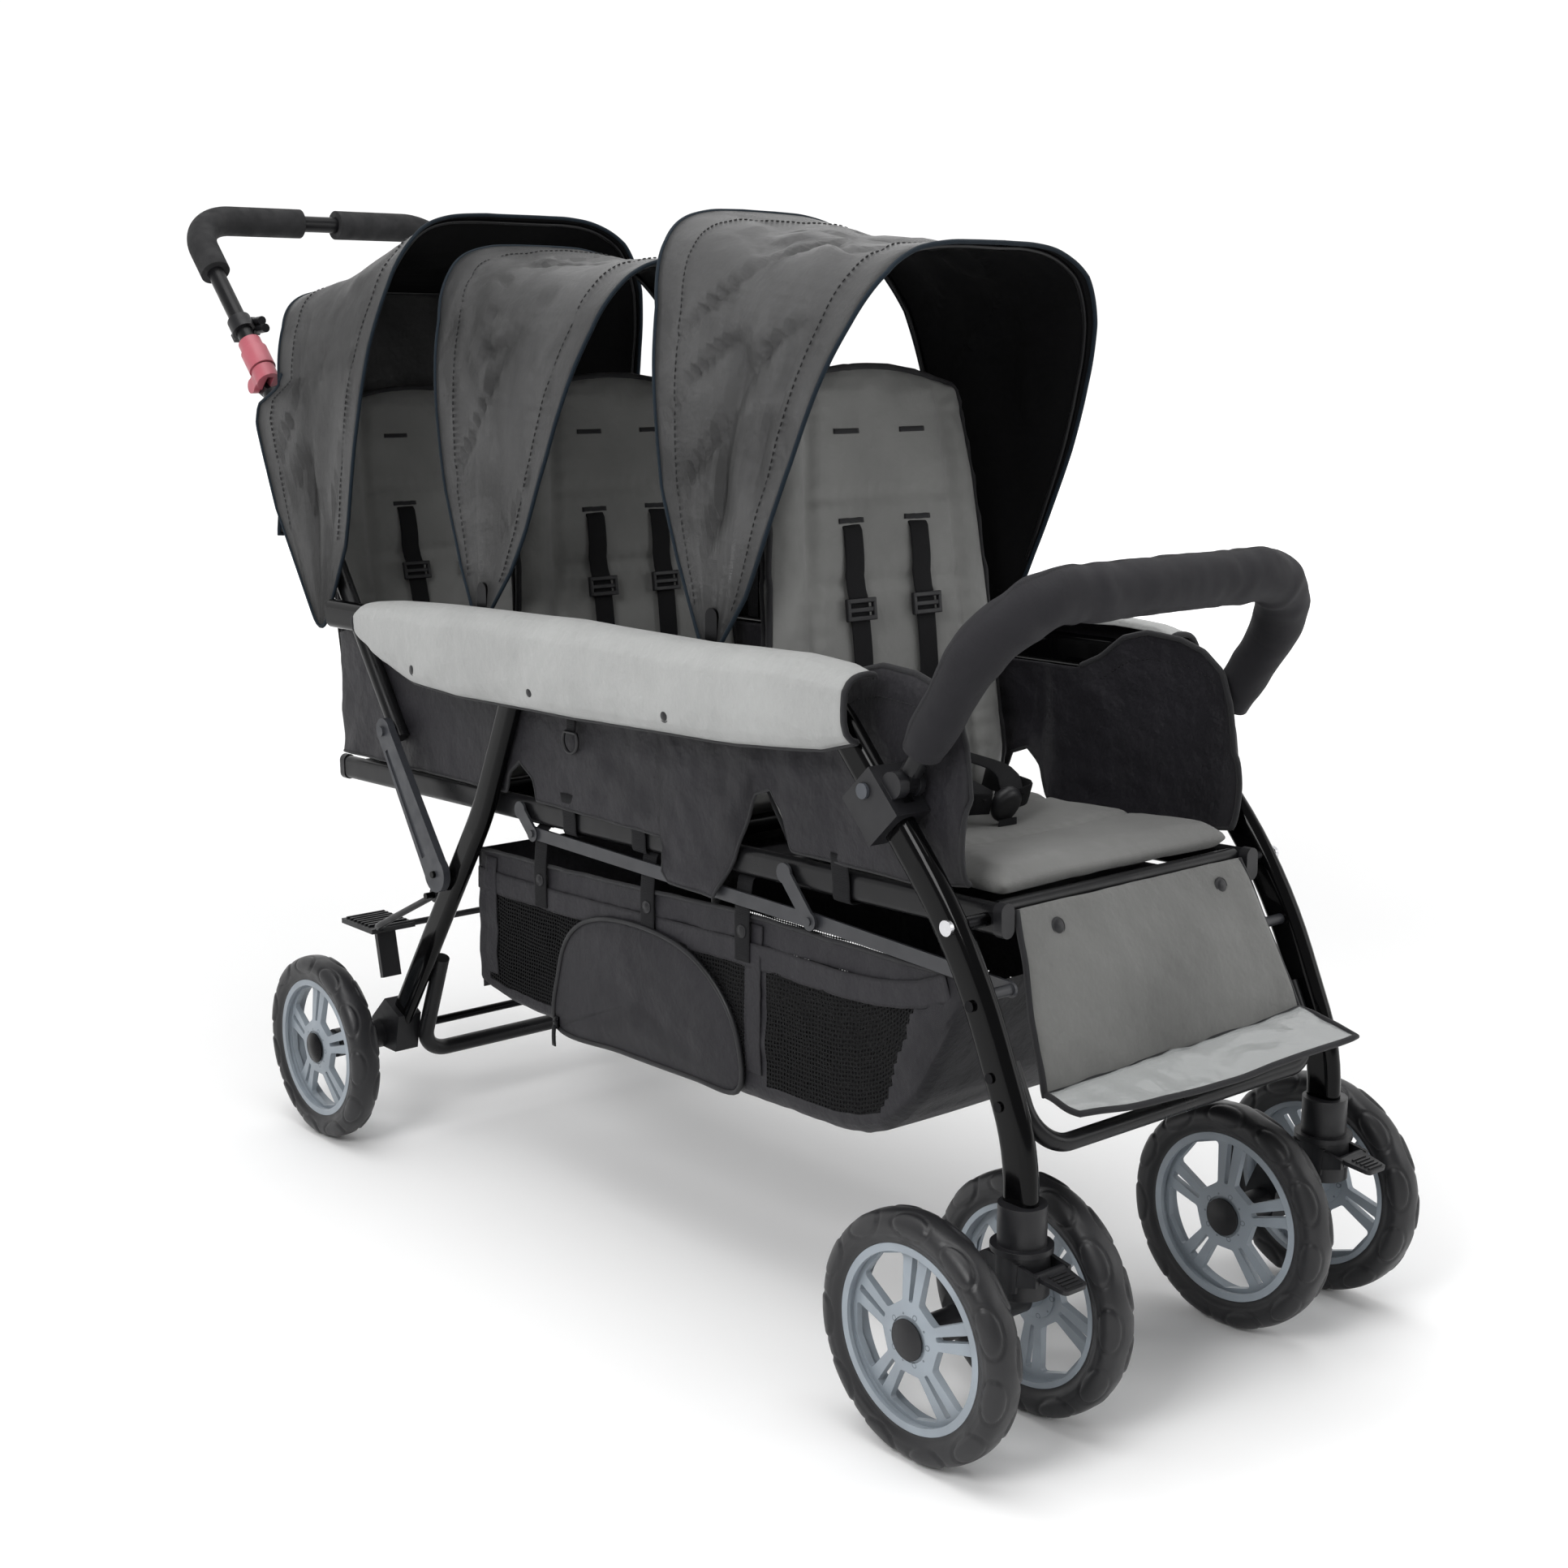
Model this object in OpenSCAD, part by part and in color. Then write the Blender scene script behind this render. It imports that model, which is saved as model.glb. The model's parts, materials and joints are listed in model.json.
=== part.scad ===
// Three-seat tandem stroller: side rails bent into front legs, a folding rear leg and handle linkage,
// three reclining seats under three sun canopies, twin swivel casters in front, single wheels at the rear.
// Width runs along X, length along Y with the front towards -Y, height along Z from the ground.

/* [Wheels] */
// Outer diameter of every tyre
tyre_d = 220; // [210:1:226]
// Width of every tyre
tyre_w = 36; // [30:1:40]
// Diameter of the rim where the tyre sits
rim_d = 164; // [150:1:176]
// Diameter of the wheel axles
axle_d = 10; // [8:0.5:12]
// Distance between the two wheels of a front caster, middle to middle
twin_pitch = 137; // [130:1:144]
// Distance of a front axle behind its swivel axis
caster_trail = 51; // [40:1:60]
// Position of the swivel axes along the length
caster_y = -737; // [-745:1:-730]
// Distance between the middles of the rear wheels
rear_track = 549; // [540:1:560]
// Position of the rear axle along the length
rear_axle_y = 335; // [325:1:345]
// Twin spokes of a rim
spoke_pairs = 5; // [4:1:6]

/* [Frame] */
// Distance between the middles of the two side rails
rail_gauge = 415; // [410:1:424]
// Height of the side rails above the ground
rail_z = 620; // [612:1:628]
// Depth of the oval rail and front leg tube
rail_h = 34; // [28:1:36]
// Width of the oval rail and front leg tube
rail_w = 19; // [16:0.5:20]
// Rear end of the side rails
rail_rear_y = 397; // [394:1:402]
// Distance between the middles of the rear legs, and of the handle stays
leg_gauge = 370; // [368:0.5:372]
// Depth of the oval rear leg tube
rear_leg_h = 32; // [26:1:34]
// Width of the oval rear leg tube
rear_leg_w = 17; // [14:0.5:18]
// Diameter of the round handle tube
tube_d = 21; // [18:0.5:22]
// Diameter of the hinge studs
stud_d = 8; // [6:0.5:9]
// Radial clearance of a running fit
fit = 0.05; // [0.03:0.01:0.08]
// Gap between parts that move past or rest on each other
gap = 0.3; // [0.2:0.05:0.4]

/* [Handle] */
// Lean of the handle stays from the horizontal
stay_angle = 54.8; // [54:0.1:56]
// Length of a handle stay above its hinge
stay_top = 312; // [300:1:318]
// Length of a handle stay below its hinge
stay_tail = 159; // [150:1:164]
// Lean of the upper handle from the horizontal
grip_angle = 46; // [45:0.1:50]
// Length of the upper handle up to its cross bar
grip_l = 274; // [250:1:280]
// Diameter of the foam grips
grip_d = 38; // [32:1:42]

/* [Seats] */
// Distance between the middles of the two seat rails
seat_gauge = 330; // [326:1:332]
// Depth of the oval seat rail tube
seat_rail_h = 28; // [24:1:30]
// Width of the oval seat rail tube
seat_rail_w = 14; // [12:0.5:15]
// Distance from one seat to the next
seat_pitch = 427; // [420:1:432]
// Front edge of the front seat cushion
seat_front_y = -664; // [-668:1:-660]
// Depth of a seat cushion
seat_depth = 284; // [276:1:286]
// Width of a seat cushion
seat_w = 326; // [318:1:334]
// Thickness of a seat cushion
seat_t = 30; // [24:1:34]
// Width of a backrest at its foot
back_w = 290; // [270:1:296]
// Height of a backrest pad
back_h = 462; // [440:1:470]
// Thickness of a backrest pad
back_t = 32; // [26:1:36]

/* [Canopies] */
// Distance between the outer sides of the front and middle canopies
canopy_w = 380; // [370:1:388]
// Side clearance between the handle stays and the rear canopy, which reaches round them
rear_canopy_gap = 3.5; // [3:0.25:5]
// Thickness of the canopy cloth
canopy_t = 3; // [2:0.5:3]

/* [Soft goods] */
// Thickness of the armrest pads outside the rail
pad_out = 19; // [14:1:22]
// Thickness of the side panel cloth
panel_t = 1.9; // [1:0.1:2]
// Width of the storage basket
basket_w = 342; // [320:1:344]
// Thickness of the basket cloth
basket_t = 2.5; // [2:0.5:4]
// Width of the harness webbing
webbing_w = 25; // [20:1:38]

/* [Hidden] */
$fn = 40;

right = -1;
left = 1;
rail_x = rail_gauge / 2;
leg_x = leg_gauge / 2;
seat_rail_x = seat_gauge / 2;
wheel_r = tyre_d / 2;
rim_r = rim_d / 2;
rear_wheel_x = rear_track / 2;
front_axle_y = caster_y + caster_trail;
stud_r = stud_d / 2;

// Faces across the width that other parts seat on
rail_in = rail_x - rail_w / 2;
rail_out = rail_x + rail_w / 2;
bolt_in = rail_in - 0.05;
bolt_out = rail_out + 0.05;
leg_in = leg_x - rear_leg_w / 2;
leg_out = leg_x + rear_leg_w / 2;
stay_in = leg_x - tube_d / 2;
stay_out = leg_x + tube_d / 2;
rear_canopy_w = 2 * (stay_out + rear_canopy_gap + canopy_t);
seat_rail_out = seat_rail_x + seat_rail_w / 2;
seat_rail_in = seat_rail_x - seat_rail_w / 2;

// Corner points in the side view, each [y, z]
leg_foot = [caster_y + 2, 208];
leg_ankle = [caster_y + 2, 271];
leg_knee = [-666, 432];
rail_bend = [-493, rail_z];
fold_pivot = [19, rail_z - 2];
rear_knee = [112, 418];
rear_foot = [rear_axle_y - 9, wheel_r - 6];
stay_pivot = [rail_rear_y - 14, rail_z];
brace_foot = [186, 337];

function along(p, a, d) = p + d * [cos(a), sin(a)];
stay_foot = along(stay_pivot, stay_angle, -stay_tail);
stay_head = along(stay_pivot, stay_angle, stay_top);
grip_foot = along(stay_head, grip_angle, 34);
grip_pin_drop = 20;
grip_pin = along(grip_foot, grip_angle - 90, grip_pin_drop);

// The rear seat stands a little closer to the middle one
rear_seat_shift = -52;

// Seat rail line, falling slightly to the rear and ending just past the hinge of the rear backrest
seat_rail_front = [-664, 447];
seat_rail_rear = [back_y(2) + 6, 421];
seat_slope = atan2(seat_rail_rear.y - seat_rail_front.y, seat_rail_rear.x - seat_rail_front.x);
function seat_rail_z(y) = seat_rail_front.y + (y - seat_rail_front.x) * tan(seat_slope);

function seat_y(i) = seat_front_y + i * seat_pitch + (i == 2 ? rear_seat_shift : 0);
function back_y(i) = seat_y(i) + seat_depth + back_t / 2 + 2;
back_rake = [6.5, 6.5, 13];

// Canopy tips and bow tops: tip [y, z], then rise of the front and rear bow from the tip
canopy_tip = [[-310, 654], [89, 648], [427, 616]];
canopy_front = [[-170, 366], [-172, 374], [-135, 467]];
canopy_rear = [[168, 410], [170, 396], [150, 420]];
// Shape of each canopy: how square its arch is, and how early its bows lean away from the tip
canopy_arch = [0.55, 0.55, 0.3];
canopy_lean = [0.85, 0.85, 0.6];
canopy_pin = [[-310, 676], [89, 670]];
rear_canopy_pin_l = 76;

bumper_pivot = [-589, 559];
bumper_angle = 123.2;
bumper_l = 197;
bumper_x = rail_x - 2.5;
bumper_tube_d = 19;
bumper_cover_d = 44;
button_travel = 3;

foot_bar_top = [-703, 335];
foot_bar_low = [-736, 266];
foot_bar_d = 16;
brake_pivot = [242, 297];
brake_angle = -25.6;
brake_l = 178;
u_top = [239, 220];
u_low = [292, 90];
u_d = 19;
hanger_y = [48, -397];
hanger_pin = [[25, 408], [-433, 401]];
link_end = [-684, 391];

// Oval outline: a is its long axis along x, b its short axis
module oval(a, b) {
  square([a - b, b], center = true);
  for (s = [-1, 1]) translate([s * (a - b) / 2, 0]) circle(d = b);
}

// Section of a bent tube: a circle, or an oval with flat sides and ends of twelve faces each
module bend_section(a, b) {
  ends = [for (s = [1, -1]) for (q = [-90 : 15 : 90]) s * [(a - b) / 2 + cos(q) * b / 2, sin(q) * b / 2]];
  if (a > b) polygon(ends);
  else circle(d = b);
}

// Bent tube in the XY plane through corner points p, with bend radii r and a section a by b.
// The bends of an oval tube are a hair thicker, so that its straight ends run into them.
module bend_path(p, r, a, b) {
  seam = a > b ? 0.5 : 0;
  thick = a > b ? 0.04 : 0;
  function heading(i) = atan2(p[i + 1].y - p[i].y, p[i + 1].x - p[i].x);
  function turn(i) = let (d = heading(i) - heading(i - 1)) d > 180 ? d - 360 : d < -180 ? d + 360 : d;
  function cut(i) = i == 0 || i == len(p) - 1 ? 0 : r[i] * tan(abs(turn(i)) / 2);
  for (i = [0 : len(p) - 2])
    let (start = cut(i) - (i > 0 ? seam : 0), end = cut(i + 1) - (i < len(p) - 2 ? seam : 0))
      translate(p[i]) rotate(heading(i)) translate([start, 0, 0]) rotate([90, 0, 90])
        linear_extrude(norm(p[i + 1] - p[i]) - start - end) bend_section(a, b);
  for (i = [1 : 1 : len(p) - 2]) {
    way = sign(turn(i));
    translate(p[i]) rotate(heading(i - 1)) translate([-cut(i), way * r[i], 0])
      rotate(way > 0 ? -90 : 90 - abs(turn(i)))
        rotate_extrude(angle = abs(turn(i)), $fn = 144) translate([r[i], 0]) bend_section(a + thick, b + thick, $fn = 40);
  }
}

// Places a side view drawn in the XY plane at width x
module side_view(x) {
  translate([x, 0, 0]) rotate([90, 0, 90]) children();
}

// Places a plane through side-view point p, leaning at angle a
module leaning(p, a) {
  translate([0, p.x, p.y]) rotate([a, 0, 0]) children();
}

// Rod across the width at side-view point p from x0 to x1
module cross_rod(p, x0, x1, r) {
  translate([min(x0, x1), p.x, p.y]) rotate([0, 90, 0]) cylinder(r = r, h = abs(x1 - x0));
}

// Convex polygon with corners rounded outwards by r, for corner points in counter-clockwise order
module soft_polygon(p, r) {
  function facing(i) = let (d = p[(i + 1) % len(p)] - p[i]) atan2(-d.x, d.y);
  function turn(i) = let (a = facing(i) - facing((i + len(p) - 1) % len(p))) a < 0 ? a + 360 : a;
  polygon([for (i = [0 : len(p) - 1]) let (n = ceil(turn(i) / 15)) for (k = [0 : n])
    let (a = facing(i) - turn(i) * (1 - k / n)) p[i] + r * [cos(a), sin(a)]]);
}

// Closed skin of nu by nv cells: f(u, v, side) gives the point on the outer (1) or inner (0) face
module skin(nu, nv, f) {
  row = nu + 1;
  sheet = row * (nv + 1);
  points = [for (side = [1, 0]) for (j = [0 : nv]) for (i = [0 : nu]) f(i / nu, j / nv, side)];
  function at(i, j, k) = k * sheet + j * row + i;
  cells = [for (j = [0 : nv - 1]) for (i = [0 : nu - 1]) for (t = [0 : 3])
    t == 0 ? [at(i, j, 0), at(i, j + 1, 0), at(i + 1, j, 0)]
    : t == 1 ? [at(i + 1, j, 0), at(i, j + 1, 0), at(i + 1, j + 1, 0)]
    : t == 2 ? [at(i, j, 1), at(i + 1, j, 1), at(i, j + 1, 1)]
    : [at(i + 1, j, 1), at(i + 1, j + 1, 1), at(i, j + 1, 1)]];
  edge_u = [for (i = [0 : nu - 1]) for (t = [0 : 3])
    t == 0 ? [at(i, 0, 0), at(i + 1, 0, 0), at(i, 0, 1)]
    : t == 1 ? [at(i + 1, 0, 0), at(i + 1, 0, 1), at(i, 0, 1)]
    : t == 2 ? [at(i, nv, 0), at(i, nv, 1), at(i + 1, nv, 0)]
    : [at(i + 1, nv, 0), at(i, nv, 1), at(i + 1, nv, 1)]];
  edge_v = [for (j = [0 : nv - 1]) for (t = [0 : 3])
    t == 0 ? [at(0, j, 0), at(0, j, 1), at(0, j + 1, 0)]
    : t == 1 ? [at(0, j + 1, 0), at(0, j, 1), at(0, j + 1, 1)]
    : t == 2 ? [at(nu, j, 0), at(nu, j + 1, 0), at(nu, j, 1)]
    : [at(nu, j + 1, 0), at(nu, j + 1, 1), at(nu, j, 1)]];
  polyhedron(points, concat(cells, edge_u, edge_v));
}

function mix(a, b, t) = a + (b - a) * t;
function bulge(t, n) = pow(max(0, 1 - pow(abs(t), n)), 1 / n);
function dip(t, at, width) = exp(-pow((t - at) / width, 2));

// Side rail and front leg bent from one oval tube, with the studs of the two hinges it carries
module side_frame(s) {
  color("#141416") {
    side_view(s * rail_x)
      bend_path([leg_foot, leg_ankle, leg_knee, rail_bend, [rail_rear_y, rail_z]],
        [0, 190, 470, 76, 0], rail_h, rail_w);
    cross_rod(fold_pivot, s * rail_x, s * (leg_in - gap), stud_r);
    cross_rod(stay_pivot, s * rail_x, s * (stay_in - gap), stud_r);
  }
}

// Pair of straight oval rails that carry the seats, with the studs of the backrest hinges
module seat_rails() {
  color("#1b1b1d") for (s = [right, left]) {
    side_view(s * seat_rail_x)
      bend_path([seat_rail_front, seat_rail_rear], [0, 0], seat_rail_h, seat_rail_w);
    for (i = [0 : 2])
      cross_rod([back_y(i), seat_rail_z(back_y(i))], s * seat_rail_x, s * (back_w / 2 - 12), stud_r);
  }
}

// Moulded plugs in the four open ends of the seat rails
module rail_end_caps() {
  color("#202022") for (s = [right, left]) for (e = [0, 1])
    translate([s * seat_rail_x, 0, 0]) leaning(e == 0 ? seat_rail_front : seat_rail_rear, seat_slope)
      translate([0, e == 0 ? -10 : 0, 0]) rotate([-90, 0, 0])
        linear_extrude(10) rotate(90) oval(seat_rail_h + 3, seat_rail_w + 2);
}

// Round tubes across the seat rails under the cushions
module seat_cross_tubes() {
  y = [for (i = [0 : 2]) for (d = [i == 0 ? 8.4 : 14, seat_depth - 40]) seat_y(i) + d];
  color("#1b1b1d") for (v = y)
    cross_rod([v, seat_rail_z(v) + seat_rail_h / 2 - 8], -seat_rail_in, seat_rail_in, 8);
}

// Hanger plates on the outside of the seat rails and the flat bars that join their lower pins
module link_bars() {
  inner = seat_rail_out + panel_t + 1.6;
  plate_t = 3;
  color("#26272a") for (s = [right, left]) {
    for (i = [0, 1]) {
      top = [hanger_y[i], seat_rail_z(hanger_y[i])];
      low = hanger_pin[i];
      d = (low - top) / norm(low - top);
      n = [-d.y, d.x] * 8;
      side_view(s > 0 ? inner : -inner - plate_t) linear_extrude(plate_t) {
        translate(top) circle(r = 10);
        translate(low) circle(r = 9);
        polygon([top + n, low + n, low - n, top - n]);
      }
      cross_rod(top, s * (seat_rail_out + gap), s * inner, 5);
      cross_rod(low, s * (inner - 3), s * (inner + plate_t + 2), 4);
    }
    for (k = [0, 1]) {
      a = k == 0 ? hanger_pin[0] : hanger_pin[1];
      b = k == 0 ? hanger_pin[1] : link_end;
      d = (b - a) / norm(b - a);
      n = [-d.y, d.x] * 7;
      x = inner - 3 * (k + 1);
      side_view(s > 0 ? x : -x - 3) linear_extrude(3) {
        polygon([a + n, b + n, b - n, a - n]);
        translate(a) circle(r = 7);
        translate(b) circle(r = 7);
      }
    }
    cross_rod(link_end, s * (inner - 5), s * bolt_in, 5);
  }
}

// Padded sleeve over each side rail, open on its inner side where the linkage bolts on
module armrest_pads() {
  front = -542;
  rear = 298;
  rest = rail_z + rail_h / 2 + gap;
  wall = rail_out + gap;
  full = rail_out + pad_out;
  function top_z(y) = rail_z + mix(21, 34, min(1, (rear - y) / 260)) - 3 * dip(y, -330, 90);
  function low_z(y) = rail_z - mix(32, 58, bulge((y * 2 - front - rear) / (rear - front), 3));
  // Section points from the inner top edge round the outside to the lower edge
  function outside(y, t, l, e) = [[rail_in, t], [rail_x, t + 1], [rail_out + 6, t - 3], [full - 2, t - 14],
    [full, (t + l) / 2], [full - 1, l + 16], [rail_out + 8, l + 3], [e, l]];
  function inside(y, l, e) = [[rail_in, rest], [rail_x, rest], [rail_out, rest], [wall, rest - 4],
    [wall, (rest + l) / 2], [wall, l + 16], [wall, l + 7], [e, l + 5]];
  pad = function(u, v, side)
    let (y = mix(front, rear, v), l = low_z(y), e = mix(wall + 2, rail_in, min(1, max(0, (y + 482) / 30))), k = round(u * 7),
      p = side == 1 ? outside(y, top_z(y), l, e)[k] : inside(y, l, e)[k])
    [p.x, y, p.y];
  color("#a5a7a6") for (s = [0, 1]) mirror([s, 0, 0]) mirror([1, 0, 0]) skin(7, 14, pad);
}

// Cloth wall between rail and seat rail, with the raised front wing and arches over the hangers
module side_panels() {
  arch_r = 26;
  color("#2b2a2e") for (s = [right, left])
    side_view(s > 0 ? seat_rail_out + 0.2 : -seat_rail_out - 0.2 - panel_t) linear_extrude(panel_t)
      difference() {
        union() {
          polygon([[-642, 452], [430, 430], [446, 520], [420, 606], [-470, 612], [-600, 560], [-634, 500]]);
          soft_polygon([[-618, 500], [-560, 480], [-430, 500], [-440, 600], [-540, 600], [-592, 560]], 30);
        }
        for (i = [0, 1]) {
          translate([hanger_y[i], 455]) circle(r = arch_r);
          translate([hanger_y[i] - arch_r, 400]) square([2 * arch_r, 55]);
        }
      }
}

// Storage basket: a cloth tub, open at the top, hung by webbing from the seat rails
module basket() {
  outer = [[147, 356], [-640, 385], [-612, 330], [-525, 226], [-500, 205], [-460, 197], [90, 197], [135, 212]];
  inner = [[143, 400], [-648, 400], [-634, 380], [-608, 330], [-522, 230], [-498, 208], [-459, 200], [90, 200], [131, 214]];
  strap_y = [8, -189, -339];
  color("#232226") {
    difference() {
      side_view(-basket_w / 2) linear_extrude(basket_w) polygon(outer);
      side_view(-basket_w / 2 + basket_t) linear_extrude(basket_w - 2 * basket_t) polygon(inner);
    }
    for (s = [right, left]) for (y = strap_y) {
      top = seat_rail_z(y) - seat_rail_h / 2 - gap;
      translate([s * (basket_w / 2 - basket_t - 1.3) - 0.7, y - webbing_w / 2, 330])
        cube([1.4, webbing_w, top - 330]);
    }
  }
}

// Tube that carries the footrest between the front legs
module footrest_tube() {
  d = foot_bar_low - foot_bar_top;
  x = rail_in - foot_bar_d / 2 - gap;
  color("#1b1b1d") {
    leaning(foot_bar_top, atan2(d.y, d.x))
      bend_path([[-x, 0], [-x, norm(d)], [x, norm(d)], [x, 0]], [0, 40, 40, 0], foot_bar_d, foot_bar_d);
    for (s = [right, left]) for (k = [0.1, 0.42])
      cross_rod(foot_bar_top + d * k, s * x, s * bolt_in, 4);
  }
}

// Padded panel behind the front child's calves
module calf_panel() {
  top = [-669, 452];
  low = [-716, 303];
  face = function(u, v, side)
    let (x = (1 - u * 2) * mix(156.6, 160, v), c = mix(top, low, v) + [-8 * bulge(v * 2 - 1, 2) * bulge(u * 2 - 1, 3), 0])
    [x, c.x + (side == 1 ? -4 * bulge(u * 2 - 1, 6) - 1 : 3), c.y];
  color("#6f6f6d") skin(8, 5, face);
}

// Thin foot flap that lies over the footrest tube
module foot_flap() {
  rest_z = foot_bar_low.y + foot_bar_d / 2 + gap;
  color("#8a8c8b") translate([0, foot_bar_low.x, rest_z]) rotate([-8, 0, 0]) linear_extrude(4)
    soft_polygon([[-142, -51], [142, -51], [142, -12], [132, 12], [-132, 12], [-142, -12]], 10);
}

// Seat cushion: crowned pad with drawn-in sides and two sewn channels
module seat_cushion(i) {
  pad = function(u, v, side)
    let (a = u * 2 - 1, b = v * 2 - 1,
      x = a * seat_w / 2 * mix(0.955, 1, pow(abs(b), 3)),
      y = b * seat_depth / 2 * mix(0.985, 1, pow(abs(a), 3)),
      crown = bulge(a, 5) * bulge(b, 5),
      groove = 5 * (dip(b, -0.25, 0.06) + dip(b, 0.375, 0.06)) * crown)
    [x, y, side == 1 ? seat_t * mix(0.4, 0.92, crown) + 2 * crown * (1 - a * a) - groove : seat_t * 0.3 * (1 - crown)];
  y = seat_y(i) + seat_depth / 2;
  color("#6f6f6d") translate([0, y, seat_rail_z(y) + seat_rail_h / 2 + gap]) rotate([seat_slope, 0, 0])
    skin(10, 16, pad);
}

// Bolt heads and nuts of the frame, the spacers of the seat rails and the canopy clips
module fasteners() {
  color("#9a9a9c") for (s = [right, left]) {
    cross_rod(fold_pivot, s * (leg_in - gap), s * (leg_in - gap - 5), 7);
    cross_rod(stay_pivot, s * (stay_in - gap), s * (stay_in - gap - 5), 7);
    seat_bolt = [-655, seat_rail_z(-655)];
    cross_rod(seat_bolt, s * seat_rail_out, s * bolt_in, 6);
    cross_rod(seat_bolt, s * bolt_out, s * (rail_out + 4), 7);
    cross_rod([-683, 385], s * bolt_out, s * (rail_out + 3), 5);
    for (k = [0.1, 0.42])
      cross_rod(foot_bar_top + (foot_bar_low - foot_bar_top) * k, s * bolt_out, s * (rail_out + 2), 4.5);
    for (i = [0, 1]) {
      pin = canopy_pin[i];
      side_view(s > 0 ? canopy_w / 2 + gap : -canopy_w / 2 - gap - 4) linear_extrude(4) {
        translate(pin) circle(r = 9);
        translate([pin.x - 9, rail_z - 8]) square([18, pin.y + 8 - rail_z]);
      }
      cross_rod([pin.x, rail_z], s * (canopy_w / 2 + gap + 4), s * bolt_in, 5);
    }
  }
}

// Clamp on each front leg with the two ears that hold the bumper bar
module bumper_sockets() {
  lean = 46;
  block = along(bumper_pivot, lean - 90, 26);
  color("#232326") for (s = [right, left]) difference() {
    union() {
      translate([s * rail_x, 0, 0]) leaning(block, lean) translate([-20, -26, -27]) cube([40, 52, 46]);
      cross_rod(bumper_pivot, s * rail_x - 15, s * rail_x + 15, 12);
    }
    side_view(s * rail_x)
      bend_path([leg_ankle, leg_knee, rail_bend, [rail_rear_y, rail_z]],
        [0, 470, 76, 0], rail_h + 2 * gap, rail_w + 2 * gap);
    translate([s * bumper_x - 6.4, bumper_pivot.x, bumper_pivot.y]) rotate([lean, 0, 0])
      translate([0, -15, -11]) cube([12.8, 30, 40]);
    cross_rod(bumper_pivot, s * rail_x - 16, s * rail_x + 16, 4);
    side_button(s, gap, button_travel + gap);
  }
  color("#232326") for (s = [right, left])
    cross_rod(bumper_pivot, s * rail_x - 15, s * rail_x + 15, 4);
}

// Round release button in the outer side of a bumper clamp
module side_button(s, extra, depth) {
  p = along(along(bumper_pivot, -44, 26), 46, 14);
  cross_rod(p, s * (rail_x + 13.3 - depth), s * (rail_x + 23), 7 + extra);
}

module bumper_button(s) {
  color("#6d7278") side_button(s, 0, 0);
}

// Flanged collar at the foot of each front leg, in which the caster swivels
module caster_collars() {
  color("#1d1d1f") for (s = [right, left]) translate([s * rail_x, caster_y, 0]) difference() {
    union() {
      translate([0, 0, 186.3]) cylinder(r = 27, h = 5);
      translate([0, 0, 186.3]) cylinder(r = 21, h = 40);
    }
    translate([0, 0, 180]) cylinder(r = 6 + fit, h = 26);
    translate([0, 2, leg_foot.y]) linear_extrude(60) rotate(90) oval(rail_h, rail_w);
  }
}

// Rear legs with the studs that carry the braces and the brake
module rear_legs() {
  top = along(fold_pivot, atan2(fold_pivot.y - rear_knee.y, fold_pivot.x - rear_knee.x), 16);
  color("#141416") for (s = [right, left]) {
    difference() {
      side_view(s * leg_x) bend_path([top, rear_knee, rear_foot], [0, 320, 0], rear_leg_h, rear_leg_w);
      cross_rod(fold_pivot, s * (leg_in - 1), s * (leg_out + 1), stud_r + fit);
      cross_rod([rear_axle_y, wheel_r], s * (leg_in - 1), s * (leg_out + 1), axle_d / 2 + fit);
    }
    cross_rod(brace_foot, s * leg_x, s * (leg_out + 16), stud_r);
    cross_rod(brake_pivot, s * leg_x, s * (leg_in - 11), stud_r);
  }
}

// U-shaped tube that ties the rear legs together above the axle
module rear_cross_tube() {
  d = u_low - u_top;
  x = leg_in - u_d / 2 - gap;
  color("#1b1b1d") {
    leaning(u_top, atan2(d.y, d.x))
      bend_path([[-x, 0], [-x, norm(d)], [x, norm(d)], [x, 0]], [0, 36, 36, 0], u_d, u_d);
    for (s = [right, left]) for (k = [0.06, 0.2])
      cross_rod(u_top + d * k + [3, 0], s * x, s * leg_in, 5);
  }
}

// Domed cap on the end of an axle, facing s
module axle_cap(s) {
  rotate([0, s * 90, 0]) intersection() {
    cylinder(r = 18, h = 5);
    translate([0, 0, -40]) sphere(r = 45);
  }
}

hub_half = 13;

// Rear axle: one rod through both brackets with a domed cap at each end
module rear_axle() {
  end = rear_wheel_x + hub_half + gap;
  color("#8f9296") cross_rod([rear_axle_y, wheel_r], -end, end, axle_d / 2);
  color("#1b1b1d") for (s = [right, left]) translate([s * end, rear_axle_y, wheel_r]) axle_cap(s);
}

// Moulded brackets that join the rear legs to the axle
module axle_brackets() {
  c = [rear_axle_y, wheel_r];
  inner = leg_in - 7;
  color("#202023") for (s = [right, left]) difference() {
    union() {
      cross_rod(c, s * inner, s * (rear_wheel_x - hub_half - gap), 17);
      side_view(s > 0 ? inner : -inner - rear_leg_w - 14) linear_extrude(rear_leg_w + 14)
        polygon([[296, 96], [352, 96], [350, 128], [318, 158], [286, 142]]);
    }
    side_view(s * leg_x) bend_path([rear_knee, along(rear_foot, -55.7, 4)], [0, 0], rear_leg_h, rear_leg_w);
    cross_rod(c, s * (inner - 1), s * rear_wheel_x, axle_d / 2 + fit);
  }
}

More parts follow.
